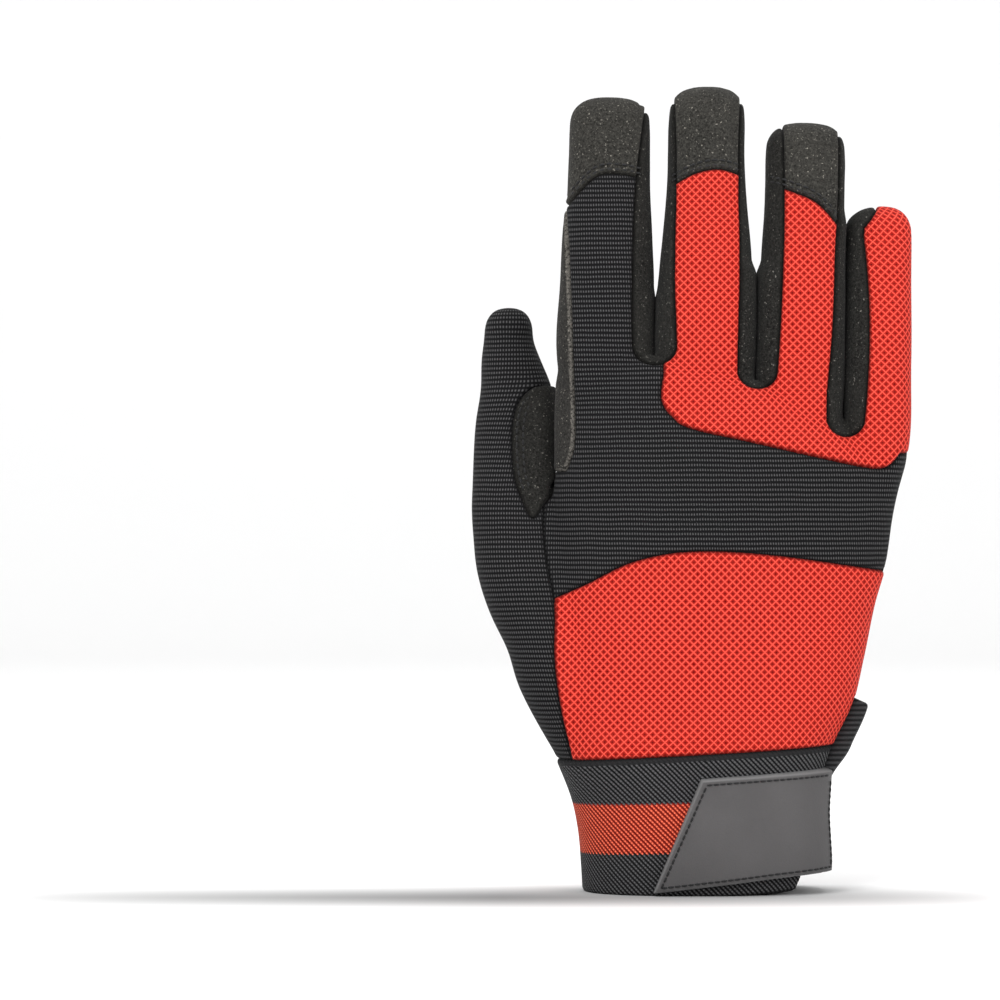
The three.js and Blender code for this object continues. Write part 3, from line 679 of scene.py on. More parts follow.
def tab_foot(x):
    return TAB_FOOT + TAB_FOOT_SLOPE * x


def tab_top(x):
    return TAB_FOOT + TAB_HEIGHT + TAB_TOP_SLOPE * x


def tab_outline(inset, right):
    low, high = -TAB_REACH + inset, -TAB_REACH + TAB_RAKE + inset
    return [(low, tab_foot(low)), (right, tab_foot(right)), (right, tab_top(right)), (high, tab_top(high))]


def vent_cell(gap):
    return side_prism(VENT_OUTLINE, gap)


def binding_cell():
    foot = prism(rectangle(-FAR, FAR, -FAR, BINDING_FOOT))
    return combined(side_prism(VENT_OUTLINE), ("DIFFERENCE", side_prism(SLIT_OUTLINE)), ("DIFFERENCE", foot))


form_mark = bpy.data.materials.new("form_mark")
cut_mark = bpy.data.materials.new("cut_mark")
form = make_form()
form_tree = KDTree(len(form.data.vertices))
for vertex in form.data.vertices:
    form_tree.insert(vertex.co, vertex.index)
form_tree.balance()
form_normals = np.array([vertex.normal for vertex in form.data.vertices])
form_faces = BVHTree.FromPolygons(
    [vertex.co for vertex in form.data.vertices], [face.vertices for face in form.data.polygons]
)


CRUMB = 1  # a loose patch of so few faces is dropped
FLAT_ROUNDS = 1500
FLAT_CLOSE = 1e-8  # what is left of the error when a patch counts as flat


def surface_normals(points):
    """The form's own normals near the points."""
    made = np.empty((len(points), 3))
    for i, point in enumerate(points):
        near = form_tree.find_n(point, 3)
        made[i] = sum(form_normals[index] / (distance + 0.05) for _, index, distance in near)
    return made / np.linalg.norm(made, axis=1)[:, None]


def marked_faces(obj):
    """The part of a cut form that lies on the form's own surface, without crumbs."""
    mesh = bmesh.new()
    mesh.from_mesh(obj.data)
    mark = obj.data.materials.find("form_mark")
    bmesh.ops.delete(mesh, geom=[f for f in mesh.faces if f.material_index != mark], context="FACES")
    bmesh.ops.remove_doubles(mesh, verts=mesh.verts, dist=0.06)
    bmesh.ops.triangulate(mesh, faces=mesh.faces)
    seen, patches = set(), []
    for face in mesh.faces:
        if face.index in seen:
            continue
        seen.add(face.index)
        patch, edge = [face], [face]
        while edge:
            for other in {n for e in edge.pop().edges for n in e.link_faces}:
                if other.index not in seen:
                    seen.add(other.index)
                    patch.append(other)
                    edge.append(other)
        patches.append(patch)
    keep = {f.index for patch in patches if len(patch) > CRUMB for f in patch}
    bmesh.ops.delete(mesh, geom=[f for f in mesh.faces if f.index not in keep], context="FACES")
    return mesh


def edge_distance(points, mesh):
    """How far each point is from the patch's edge."""
    samples = []
    for edge in mesh.edges:
        if edge.is_boundary:
            a, b = (vertex.co for vertex in edge.verts)
            samples += [a.lerp(b, t) for t in np.arange(0, 1, 0.2)]
    tree = KDTree(len(samples))
    for i, sample in enumerate(samples):
        tree.insert(sample, i)
    tree.balance()
    return np.array([tree.find(point)[2] for point in points])


def fine_edges(mesh, distance_of, reach):
    """Halves the edges that lie within reach of a seam, where the fabric rolls into it."""
    mesh.verts.index_update()
    distance = distance_of([v.co for v in mesh.verts], mesh)
    near = [e for e in mesh.edges if min(distance[v.index] for v in e.verts) < reach]
    bmesh.ops.subdivide_edges(mesh, edges=near, cuts=1)
    bmesh.ops.triangulate(mesh, faces=mesh.faces)


def flat_coordinates(mesh):
    """Lays the patch flat, as the cloth was cut: U round the hand and V up it, in millimetres.

    Their slopes come as near as they can to one, round and up the surface, by conjugate gradients.
    """
    points, faces = arrays(mesh)
    corners = points[faces]
    opposite = np.roll(corners, -2, 1) - np.roll(corners, -1, 1)
    normals = np.cross(corners[:, 1] - corners[:, 0], corners[:, 2] - corners[:, 0])
    doubled = np.maximum(np.linalg.norm(normals, axis=1), 1e-9)[:, None]
    normals = normals / doubled
    across = np.cross((0, 0, 1), normals)
    across = across / np.maximum(np.linalg.norm(across, axis=1), 0.05)[:, None]
    upward = np.cross(normals, across)
    slopes = np.cross(normals[:, None], opposite)
    wanted = [np.einsum("fij,fj->fi", slopes, field) / 2 for field in (across, upward)]
    right = np.column_stack([np.bincount(faces.ravel(), side.ravel(), len(points)) for side in wanted])
    stiff = np.einsum("fij,fkj->fik", opposite, opposite) / (2 * doubled[:, :, None])
    rows, columns = np.repeat(faces, 3, 1).ravel(), np.tile(faces, (1, 3)).ravel()
    weights = stiff.ravel()

    def pull(field):
        drawn = field[columns] * weights[:, None]
        return np.column_stack([np.bincount(rows, side, len(points)) for side in drawn.T])

    own = np.maximum(np.bincount(rows[rows == columns], weights[rows == columns], len(points)), 1e-9)[:, None]
    flat = points[:, [0, 2]] - points[:, [0, 2]].mean(0)
    rest = right - pull(flat)
    step = rest / own
    size = (rest * step).sum(0)
    first = size.copy()
    for _ in range(FLAT_ROUNDS):
        pulled = pull(step)
        share = size / np.maximum((step * pulled).sum(0), 1e-12)
        flat = flat + step * share
        rest = rest - pulled * share
        last, size = size, (rest * rest / own).sum(0)
        if (size < first * FLAT_CLOSE).all():
            break
        step = rest / own + step * (size / np.maximum(last, 1e-12))
    return flat - flat.mean(0)


def waves(points, length, count=7):
    """A smooth field from -1 to 1 that never repeats, with swells of about that length."""
    random = np.random.default_rng(int(length * 10))
    total = np.zeros(len(points))
    for _ in range(count):
        direction = random.normal(size=3)
        direction *= 2 * np.pi / length / np.linalg.norm(direction) * random.uniform(0.6, 1.6)
        total += np.sin(points @ direction + random.uniform(0, 2 * np.pi))
    return total / count**0.5 / 1.5


def roll(distance, width):
    """From 0 at a panel's edge to 1 past the width, as a quarter round."""
    t = np.clip(distance / width, 0, 1)
    return np.sqrt(1 - (1 - t) ** 2)


def girth_coordinates(points):
    """How far round the wrist each point lies, and its height, with the wrist's girth."""
    ring = hand_rings()[3][:, :2]
    closed = np.concatenate([ring, ring[:1]])
    lengths = np.concatenate([[0], np.cumsum(np.linalg.norm(np.diff(closed, axis=0), axis=1))])
    steps = np.linspace(0, len(ring), len(ring) * 20, endpoint=False)
    places = [np.interp(steps, np.arange(len(closed)), axis) for axis in (*closed.T, lengths)]
    tree = KDTree(len(steps))
    for i, (x, y) in enumerate(zip(*places[:2])):
        tree.insert((x, y, 0), i)
    tree.balance()
    round_wrist = np.array([places[2][tree.find((x, y, 0))[1]] for x, y, _ in points])
    return np.column_stack([round_wrist, points[:, 2]]), lengths[-1]


def corners_of(flat, corner, girth):
    """The flat coordinates of each face's corners, whole where a face crosses the ring's start."""
    flats = flat[corner].reshape(-1, 3, 2)
    if girth:
        far = flats[:, :, 0].max(1)[:, None] - flats[:, :, 0] > girth / 2
        flats[:, :, 0] += np.where(far, girth, 0)
    return flats.reshape(-1, 2)


def make_piece(name, points, faces, material, nodes=(), flat=None, seam=None, girth=0):
    """A shown piece from points in millimetres; it rides on the frame and replaces its nodes."""
    obj = mesh_object(name, np.asarray(points) * MM, [tuple(map(int, f)) for f in faces])
    obj.data.materials.append(material)
    obj.data.polygons.foreach_set("use_smooth", [True] * len(obj.data.polygons))
    corner = np.empty(len(obj.data.loops), np.int32)
    obj.data.loops.foreach_get("vertex_index", corner)
    if flat is not None:
        layer = obj.data.uv_layers.new(name="UVMap")
        layer.uv.foreach_set("vector", (corners_of(flat, corner, girth) * MM).astype(np.float32).ravel())
    if seam is not None:
        obj.data.attributes.new("seam", "FLOAT", "POINT").data.foreach_set("value", seam.astype(np.float32))
    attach(obj, "root")
    if nodes:
        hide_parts(*nodes)


def arrays(mesh):
    mesh.verts.index_update()
    points = np.array([v.co for v in mesh.verts])
    faces = np.array([[v.index for v in f.verts] for f in mesh.faces])
    return points, faces


def edge_pairs(faces):
    """The directed edges that only one face has."""
    pairs = np.concatenate([faces[:, [0, 1]], faces[:, [1, 2]], faces[:, [2, 0]]])
    seen = {(a, b) for a, b in pairs}
    return np.array([(a, b) for a, b in seen if (b, a) not in seen])


def tucked(points, normals, pairs):
    """How far each rim point is tucked under the neighbouring panel, as its seam allowance."""
    outward = np.zeros((len(points), 3))
    sides = np.cross(points[pairs[:, 1]] - points[pairs[:, 0]], normals[pairs[:, 0]])
    for ends in pairs.T:
        np.add.at(outward, ends, sides)
    lengths = np.linalg.norm(outward, axis=1)[:, None]
    return SEAM_TUCK * outward / np.maximum(lengths, 1e-9)


def panel(
    name, solid, rise, material, relief=None, cloth=None, rows=None, depth=SEAM_DEPTH, width=SEAM_ROLL
):
    """A sewn panel: its patch of the form, raised and rolled into its seams, with its inner face.

    rows, where it has any, gives how far points are from its rows of stitches.
    """
    mesh = marked_faces(solid)
    fine_edges(mesh, edge_distance, SEAM_ROLL)
    if rows:
        fine_edges(mesh, lambda points, _: rows(points), GROOVE_WIDTH)
    flat, girth = None, 0
    if cloth == "flat":
        flat = flat_coordinates(mesh)
    points, faces = arrays(mesh)
    if cloth == "round":
        flat, girth = girth_coordinates(points)
    normals = surface_normals(points)
    distance = edge_distance(points, mesh)
    mesh.free()
    height = rise - depth * (1 - roll(distance, width)) + swell(points)
    if relief is not None:
        height += relief(points, distance, normals)
    outer = points + normals * height[:, None]
    pairs = edge_pairs(faces)
    inner = points - normals * SUEDE_WALL + tucked(points, normals, pairs)
    count = len(points)
    rim = np.concatenate([
        np.column_stack([pairs[:, 1], pairs[:, 0], pairs[:, 0] + count]),
        np.column_stack([pairs[:, 1], pairs[:, 0] + count, pairs[:, 1] + count]),
    ])
    whole = np.concatenate([faces, faces[:, ::-1] + count, rim])
    # The distance from the seams, and from the stitch rows where there are any, is kept as the 'seam'
    # attribute; most materials paint shade from it into the seam grooves and along the rows, and the inner
    # face, at 0, takes their full painted shade.
    if rows:
        distance = np.minimum(distance, rows(points))
    seam = np.concatenate([distance, np.zeros(count)])
    flats = None if flat is None else np.concatenate([flat, flat])
    both = np.concatenate([outer, inner])
    make_piece(name + "_cloth", both, whole, material, [name], flats, seam, girth)


def swell(points):
    """The soft unevenness that the filled hand gives the cloth."""
    return 0.22 * waves(points, 38) + 0.08 * waves(points, 14)


# Rows of stitches, each point across from the palm's middle and up from the cuff, as shares
PALM_ROWS = {
    "thenar": [
        (-0.755, 0.634), (-0.615, 0.595), (-0.489, 0.55), (-0.349, 0.487), (-0.264, 0.429), (-0.201, 0.371),
        (-0.159, 0.314), (-0.152, 0.231), (-0.236, 0.193), (-0.377, 0.167), (-0.545, 0.167), (-0.657, 0.218),
        (-0.728, 0.282), (-0.78, 0.346), (-0.82, 0.42),
    ],
    "diagonal": [
        (-0.742, 0.666), (-0.532, 0.608), (-0.349, 0.538), (-0.223, 0.465), (-0.166, 0.435), (-0.068, 0.378),
        (0.03, 0.318), (0.129, 0.25), (0.255, 0.196), (0.34, 0.167), (0.5, 0.161), (0.66, 0.175),
    ],
    "centre": [(-0.223, 0.465), (-0.124, 0.506), (-0.026, 0.576), (0.044, 0.666)],
    "heart": [(-0.307, 0.726), (-0.152, 0.717), (-0.013, 0.71), (0.198, 0.71), (0.408, 0.697), (0.6, 0.69)],
    "heel": [
        (-0.152, 0.704), (0.057, 0.666), (0.212, 0.634), (0.395, 0.614), (0.353, 0.557), (0.268, 0.474),
        (0.17, 0.41), (0.1, 0.359), (0.03, 0.318),
    ],
    "index_pad": [(-0.72, 1.02), (-0.57, 1.008), (-0.5, 0.98), (-0.49, 0.93)],
    "middle_pad": [(-0.29, 0.93), (-0.2, 0.955), (-0.11, 0.985), (0.06, 0.975), (0.11, 0.93)],
    "ring_pad": [(0.29, 0.9), (0.4, 0.935), (0.56, 0.93), (0.62, 0.88)],
}
STITCH_LENGTH = 1.7
STITCH_PITCH = 2.3
TAB_STITCH = 1.95  # pitch of the tab's stitches
STITCH_INSET = 1.4  # of a row from its panel's edge
STITCH_RADIUS = 0.32
STITCH_STEPS = 8  # places along a row for each stitch
LOOP_RINGS = 5
LOOP_SIDES = 6
ROW_GAP = 1.9  # between the two rows of a double seam
GROOVE_DEPTH = 0.7
GROOVE_WIDTH = 1.2


def on_form(points, direction):
    """Points seen at x and z, or at y and z from the side, put on the form."""
    found = []
    for across, z in points:
        starts = {"side": (FAR, across, z), "palm": (across, FAR, z), "back": (across, -FAR, z)}
        hit = form_faces.ray_cast(starts[direction], VIEWS[direction])[0]
        if hit is not None:
            found.append(hit)
    return np.array(found)


VIEWS = {"side": (-1, 0, 0), "palm": (0, -1, 0), "back": (0, 1, 0)}


def even(places, pitch):
    """Places along a line in space, a pitch apart."""
    lengths = np.concatenate([[0], np.cumsum(np.linalg.norm(np.diff(places, axis=0), axis=1))])
    steps = np.arange(0, lengths[-1], pitch)
    return np.column_stack([np.interp(steps, lengths, axis) for axis in places.T])


def beside(line, offset):
    """A line moved sideways in its own plane."""
    line = np.asarray(line)
    along = np.gradient(line, axis=0)
    along /= np.linalg.norm(along, axis=1)[:, None]
    return line + offset * np.column_stack([-along[:, 1], along[:, 0]])


def stitch_row(line, direction, rise, relief=None, length=STITCH_LENGTH, pitch=STITCH_PITCH):
    """Short thread loops along a line on the glove: the points and faces of each."""
    places = even(on_form(line, direction), pitch / STITCH_STEPS)
    normals = surface_normals(places)
    height = rise + swell(places)
    if relief is not None:
        height = height + relief(places, None, normals)
    places = places + normals * height[:, None]
    loops = []
    for start in range(0, len(places) - STITCH_STEPS, STITCH_STEPS):
        steps = np.linspace(0, length / pitch * STITCH_STEPS, LOOP_RINGS) + start
        middle = np.column_stack([np.interp(steps, np.arange(len(places)), axis) for axis in places.T])
        up = normals[start]
        forward = middle[-1] - middle[0]
        forward /= np.linalg.norm(forward)
        across = np.cross(forward, up)
        rings = []
        for share, centre in zip(np.linspace(0, 1, LOOP_RINGS), middle):
            bulge = math.sin(math.pi * (0.12 + 0.76 * share))  # the ends are sunk and thin
            radius = STITCH_RADIUS * (0.45 + 0.55 * bulge)
            lift = STITCH_RADIUS * (0.9 * bulge - 0.35)
            angles = 2 * np.pi * np.arange(LOOP_SIDES) / LOOP_SIDES
            around = across * np.cos(angles)[:, None] + up * np.sin(angles)[:, None]
            rings.append(centre + up * lift + around * radius)
        loops.append(np.concatenate(rings))
    return loops


def stitches(name, loops):
    """One piece of all the thread loops."""
    faces = tube_faces(LOOP_SIDES, LOOP_RINGS)
    count = LOOP_SIDES * LOOP_RINGS
    whole = [tuple(i + count * k for i in face) for k in range(len(loops)) for face in faces]
    make_piece(name, np.concatenate(loops), whole, thread)


def palm_lines():
    """Both lines of each double row of stitches on the palm."""
    lines = []
    for row in PALM_ROWS.values():
        middle = curve([on_hand(p) for p in row], 120)
        lines += [beside(middle, side) for side in (-ROW_GAP / 2, ROW_GAP / 2)]
    return lines


def make_row_tree():
    places = np.concatenate([on_form(line, "palm") for line in palm_lines()])
    tree = KDTree(len(places))
    for i, place in enumerate(places):
        tree.insert(place, i)
    tree.balance()
    return tree


row_tree = make_row_tree()


def row_distance(points):
    return np.array([row_tree.find(point)[2] for point in points])


def quilted(points, *_):
    """The palm dips where its padding is stitched down, and swells between."""
    return GROOVE_DEPTH * (0.5 - np.exp(-((row_distance(points) / GROOVE_WIDTH) ** 2)))


def pressed(points, _, normals):
    """The web of the thumb bulges until it meets the index finger's side."""
    return PRESS * smooth_step(normals[:, 0], 0, 0.7)


def bell(distance, middle, width):
    return np.exp(-(((distance - middle) / width) ** 2))


def allowance(_, distance, normals):
    """The ridge of the folded seam allowance along a cap's edge, and the groove inside it."""
    return ALLOWANCE * (bell(distance, 1.1, 0.7) - bell(distance, 2.3, 0.4))


def closing(low_name, high_name):
    """Brings the strip's two sides together below a height, where the filled fingers press on each other."""
    low, high = fingers[low_name], fingers[high_name]
    top = CONTACT_TOP[low_name]

    def relief(points, _, normals):
        left = np.array([low.x(z) + low.wide(z) for z in points[:, 2]])
        right = np.array([high.x(z) - high.wide(z) for z in points[:, 2]])
        needed = np.clip((right - left) / 2 + CONTACT_SQUASH - STRIP_RISE, 0, CONTACT_REACH)
        facing = np.where(points[:, 0] < (left + right) / 2, normals[:, 0], -normals[:, 0])
        below = 1 - smooth_step(points[:, 2], top - CONTACT_BLEND, top + CONTACT_BLEND)
        return needed * below * smooth_step(facing, 0.3, 0.9)

    return relief


def flared(points, *_):
    """The vent's binding stands off the cuff above the strap."""
    return BINDING_FLARE * smooth_step(points[:, 2], TAB_HEIGHT - 2, TAB_HEIGHT + 14)


def lifted(points, *_):
    """The tab's lower corner stands off where the cuff narrows under it."""
    low = 1 - smooth_step(points[:, 2], 4, TAB_HEIGHT - 4)
    return TAB_LIFT * low * smooth_step(points[:, 0], CUFF_HALF * 0.4, CUFF_HALF)


# Materials
class Nodes:
    """A material's node tree with short calls: each returns the socket of what it made."""

    def __init__(self, name):
        self.material = bpy.data.materials.new(name)
        self.material.use_nodes = True
        self.tree = self.material.node_tree
        self.shader = self.tree.nodes["Principled BSDF"]

    def node(self, kind, inputs=(), output=0, **settings):
        made = self.tree.nodes.new(kind)
        for key, value in settings.items():
            setattr(made, key, value)
        for place, value in dict(inputs).items():
            self.put(made.inputs[place], value)
        return made.outputs[output]

    def put(self, socket, value):
        if isinstance(value, bpy.types.NodeSocket):
            self.tree.links.new(value, socket)
        else:
            socket.default_value = value

    def math(self, operation, a, b=0.0):
        return self.node("ShaderNodeMath", {0: a, 1: b}, operation=operation)

    def mix(self, share, low, high):
        made = self.tree.nodes.new("ShaderNodeMix")
        made.data_type = "RGBA"
        for place, value in ((0, share), (6, low), (7, high)):
            self.put(made.inputs[place], value)
        return made.outputs[2]

    def between(self, value, low, high, to_low=0.0, to_high=1.0):
        inputs = {0: value, 1: low, 2: high, 3: to_low, 4: to_high}
        return self.node("ShaderNodeMapRange", inputs)

    def noise(self, place, scale, detail=2.0, roughness=0.5):
        inputs = {"Vector": place, "Scale": scale, "Detail": detail, "Roughness": roughness}
        return self.node("ShaderNodeTexNoise", inputs)

    def axes(self, vector):
        made = self.tree.nodes.new("ShaderNodeSeparateXYZ")
        self.tree.links.new(vector, made.inputs[0])
        return made.outputs

    def place(self):
        return self.node("ShaderNodeTexCoord", output=3)

    def flat(self):
        """The cloth's own flat coordinates in metres, across and up."""
        return self.axes(self.node("ShaderNodeUVMap", uv_map="UVMap"))

    def seam(self):
        """Distance from the panel's edge, in millimetres."""
        return self.node("ShaderNodeAttribute", output=2, attribute_name="seam")

    def wave(self, value, pitch):
        """A round wave from 0 to 1 with that pitch in metres."""
        turned = self.math("MULTIPLY", value, 2 * math.pi / pitch)
        return self.between(self.math("SINE", turned), -1.0, 1.0)

    def bump(self, height, distance, strength=1.0, under=None):
        inputs = {"Height": height, "Distance": distance, "Strength": strength}
        if under is not None:
            inputs["Normal"] = under
        return self.node("ShaderNodeBump", inputs)

    def shade(self, color, share):
        """The same colour, darker or paler."""
        return [c * share for c in color[:3]] + [1]

    def finish(self, color, roughness, normal, sheen=0.0, specular=0.5):
        self.put(self.shader.inputs["Base Color"], color)
        self.put(self.shader.inputs["Roughness"], roughness)
        self.put(self.shader.inputs["Normal"], normal)
        self.shader.inputs["Sheen Weight"].default_value = sheen
        self.shader.inputs["Sheen Roughness"].default_value = 0.5
        self.shader.inputs["Specular IOR Level"].default_value = specular
        return self.material


def suede_material(name, base, speck, edge=None):
    """Microfibre suede: a short nap with sparse pale specks and soft cloudy wear."""
    n = Nodes(name)
    place = n.place()
    nap = n.noise(place, 1500, 4, 0.8)
    cloud = n.noise(place, 45, 3, 0.55)
    specks = n.between(n.noise(place, 1300, 2, 0.6), 0.645, 0.74)
    color = n.mix(n.between(nap, 0.38, 0.64), n.shade(base, 0.25), n.shade(base, 1.5))
    color = n.mix(n.between(cloud, 0.4, 0.75, 0.0, 0.25), color, n.shade(base, 1.7))
    color = n.mix(n.math("MULTIPLY", specks, 0.8), color, speck)
    if edge:
        fray = n.math("MULTIPLY", n.between(n.seam(), 0.35, 0.75, 1.0, 0.0), n.between(nap, 0.4, 0.6))
        color = n.mix(fray, color, edge)
    else:
        # Painted shade: darker within 0.8 mm of a seam, where the panel rolls into the seam groove, and along
        # the palm's rows of stitches; the inner face, at distance 0, is darkened in full.
        color = n.mix(n.between(n.seam(), 0.15, 0.8, 0.6, 0.0), color, n.shade(base, 0.25))
    normal = n.bump(nap, 0.0003, 0.7, n.bump(cloud, 0.0006, 0.5))
    return n.finish(color, 0.95, normal, sheen=0.03, specular=0.08)


def net_material():
    """Spacer net: thin pale threads crossing on the bias over a deep red ground."""
    n = Nodes("red_net")
    u, v, _ = n.flat()
    warp = n.noise(n.place(), 120, 2, 0.5)
    shift = n.between(warp, 0.0, 1.0, -0.00025, 0.00025)
    diagonals = []
    for operation in ("ADD", "SUBTRACT"):
        lean = n.math("ADD", n.math(operation, u, v), shift)
        diagonals.append(n.wave(lean, NET_PITCH * math.sqrt(2)))
    threads = [n.between(d, 0.74, 0.97) for d in diagonals]
    over = n.math("MAXIMUM", threads[0], threads[1])
    knots = n.math("MULTIPLY", threads[0], threads[1])
    height = n.math("ADD", over, n.math("MULTIPLY", knots, 0.3))
    fuzz = n.noise(n.place(), 2400, 2, 0.6)
    inside = n.math("MULTIPLY", *[n.between(d, 0.1, 0.5, 1.0, 0.0) for d in diagonals])
    color = n.mix(over, n.mix(inside, NET_GROUND, NET_HOLE), NET_THREAD)
    color = n.mix(n.between(fuzz, 0.35, 0.8, 0.0, 0.35), color, n.shade(NET_THREAD, 0.55))
    # Painted shade: the ground darkens within 0.9 mm of a seam, where the net rolls into the seam groove, and
    # on the inner face.
    edge = n.between(n.seam(), 0.1, 0.9, 0.75, 0.0)
    color = n.mix(edge, color, n.shade(NET_GROUND, 0.3))
    return n.finish(color, 0.75, n.bump(height, 0.0006, 1.0), sheen=0.02, specular=0.08)


def knit_material():
    """Ribbed stretch knit: rows across the hand, each a line of short slanted stitches."""
    n = Nodes("rib_knit")
    u, v, _ = n.flat()
    drift = n.between(n.noise(n.place(), 90, 2, 0.5), 0.0, 1.0, -0.00025, 0.00025)
    row = n.wave(n.math("ADD", v, drift), KNIT_ROW)
    slant = n.math("ADD", n.math("ADD", u, drift), n.math("MULTIPLY", v, 0.06))
    stitch = n.wave(slant, KNIT_STITCH)
    yarn = n.math("MULTIPLY", n.between(row, 0.2, 0.85), n.between(stitch, 0.2, 0.75, 0.05, 1.0))
    fuzz = n.noise(n.place(), 3000, 2, 0.7)
    color = n.mix(yarn, KNIT_DEEP, KNIT_FACE)
    color = n.mix(n.between(fuzz, 0.55, 0.85, 0.0, 0.45), color, n.mix(yarn, KNIT_DEEP, KNIT_FLECK))
    # Painted shade: the knit darkens to its deep colour within 0.9 mm of a seam, where it rolls into the seam
    # groove, and on the inner face.
    edge = n.between(n.seam(), 0.1, 0.9, 0.8, 0.0)
    color = n.mix(edge, color, KNIT_DEEP)
    return n.finish(color, 0.9, n.bump(yarn, 0.0006, 1.0), sheen=0.02, specular=0.08)


def elastic_material():
    """Wide cuff elastic: diagonal twill ribs, a red stripe and a plain hem along the top."""
    n = Nodes("cuff_elastic")
    u, v, _ = n.flat()
    x, _, z = n.axes(n.place())
    rib = n.wave(n.math("ADD", u, v), TWILL_PITCH * math.sqrt(2))
    cross = n.wave(n.math("SUBTRACT", u, v), TWILL_CROSS * math.sqrt(2))
    yarn = n.math("MULTIPLY", n.between(rib, 0.25, 0.8), n.between(cross, 0.05, 0.6, 0.45, 1.0))
    level = n.math("SUBTRACT", z, n.math("MULTIPLY", x, STRIPE_SLOPE))
    ragged = n.math("ADD", level, n.between(rib, 0.0, 1.0, -0.0003, 0.0003))
    above = n.between(ragged, STRIPE_LOW - 0.00015, STRIPE_LOW + 0.00015)
    below = n.between(ragged, STRIPE_HIGH - 0.00015, STRIPE_HIGH + 0.00015, 1.0, 0.0)
    stripe = n.math("MULTIPLY", above, below)
    black = n.mix(yarn, TAPE_DEEP, TWILL_FACE)
    red = n.mix(yarn, STRIPE_DEEP, STRIPE_FACE)
    color = n.mix(stripe, black, red)
    top = n.math("SUBTRACT", z, n.math("MULTIPLY", x, CUFF_SLOPE))
    hem = n.between(top, HEM_START - 0.0001, HEM_START + 0.0001)
    color = n.mix(hem, color, TAPE_SOFT)
    # Painted shade: the elastic darkens to its deep colour within 0.7 mm of a seam, where it rolls into the
    # seam groove, and on the inner face.
    edge = n.between(n.seam(), 0.0, 0.7, 0.7, 0.0)
    color = n.mix(edge, color, TAPE_DEEP)
    return n.finish(color, 0.85, n.bump(yarn, 0.0005, 1.0), sheen=0.02, specular=0.08)


def tape_material(name, pitch):
    """Black binding or webbing with fine cross ribs."""
    n = Nodes(name)
    _, _, z = n.axes(n.place())
    rib = n.wave(z, pitch)
    fuzz = n.noise(n.place(), 2600, 2, 0.7)
    yarn = n.math("MULTIPLY", rib, n.between(fuzz, 0.3, 0.7, 0.6, 1.0))
    color = n.mix(yarn, TAPE_DEEP, TAPE_FACE)
    return n.finish(color, 0.9, n.bump(yarn, 0.0004, 1.0), sheen=0.05, specular=0.15)


def tab_material():
    """Coated tab: a smooth satin face with a fine grain, faint handling marks and a pale cut edge."""
    n = Nodes("coated_tab")
    place = n.place()
    grain = n.noise(place, 1800, 3, 0.6)
    marks = n.noise(place, 70, 4, 0.6)
    color = n.mix(n.between(marks, 0.3, 0.8), n.shade(TAB_FACE, 0.92), n.shade(TAB_FACE, 1.1))
    color = n.mix(n.between(grain, 0.5, 0.8, 0.0, 0.3), color, n.shade(TAB_FACE, 0.75))
    color = n.mix(n.between(n.seam(), 0.1, 0.6, 0.6, 0.0), color, TAB_EDGE)
    roughness = n.between(marks, 0.3, 0.8, 0.5, 0.6)
    return n.finish(color, roughness, n.bump(grain, 0.0001, 0.6), specular=0.2)


def thread_material(name, color):
    """Sewing thread: two twisted plies."""
    n = Nodes(name)
    x, y, z = n.axes(n.place())
    ply = n.wave(n.math("ADD", n.math("ADD", x, y), z), 0.0005)
    shaded = n.mix(ply, n.shade(color, 0.4), color)
    return n.finish(shaded, 0.6, n.bump(ply, 0.0001, 1.0), sheen=0.05, specular=0.25)


NET_PITCH = 0.00168
NET_THREAD = (1, 0.095, 0.062, 1)
NET_GROUND = (0.38, 0.005, 0.0025, 1)
NET_HOLE = (0.07, 0, 0, 1)
KNIT_ROW = 0.00148
KNIT_STITCH = 0.0008
KNIT_DEEP = (0.005, 0.005, 0.0055, 1)
KNIT_FACE = (0.085, 0.084, 0.086, 1)
KNIT_FLECK = (0.16, 0.16, 0.165, 1)
TWILL_PITCH = 0.00112
TWILL_CROSS = 0.0009
TAPE_DEEP = (0.005, 0.005, 0.0055, 1)
TAPE_SOFT = (0.018, 0.018, 0.019, 1)
TAPE_FACE = (0.05, 0.05, 0.052, 1)
TWILL_FACE = (0.11, 0.11, 0.113, 1)
HEM_START = CUFF_HEIGHT * MM - 0.0017
STRIPE_LOW = 0.0133
STRIPE_HIGH = 0.0282
STRIPE_SLOPE = 0.03
STRIPE_DEEP = (0.16, 0.004, 0.002, 1)
STRIPE_FACE = (1, 0.17, 0.09, 1)
TAB_FACE = (0.076, 0.073, 0.074, 1)
TAB_EDGE = (0.2, 0.2, 0.2, 1)
FRAY = (0.15, 0.14, 0.125, 1)

suede = suede_material("suede", (0.03, 0.03, 0.0305, 1), (0.28, 0.28, 0.27, 1))
trim = suede_material("suede_trim", (0.033, 0.0315, 0.028, 1), (0.33, 0.31, 0.27, 1))
# The strips between the fingers and the thumb's crotch patch get the suede at about half its brightness,
# specks too: painted shade for where they lie between the fingers and in the thumb's web.
shaded_strip_suede = suede_material("suede_strip_painted_shade", (0.017, 0.0165, 0.015, 1), (0.2, 0.19, 0.17, 1))
net = net_material()
knit = knit_material()
frayed = suede_material("suede_frayed", (0.027, 0.0255, 0.0235, 1), (0.33, 0.31, 0.27, 1), FRAY)
elastic = elastic_material()
tape = tape_material("tape", 0.0012)
binding = tape_material("binding", 0.0015)
coated = tab_material()
thread = thread_material("thread", (0.02, 0.02, 0.021, 1))

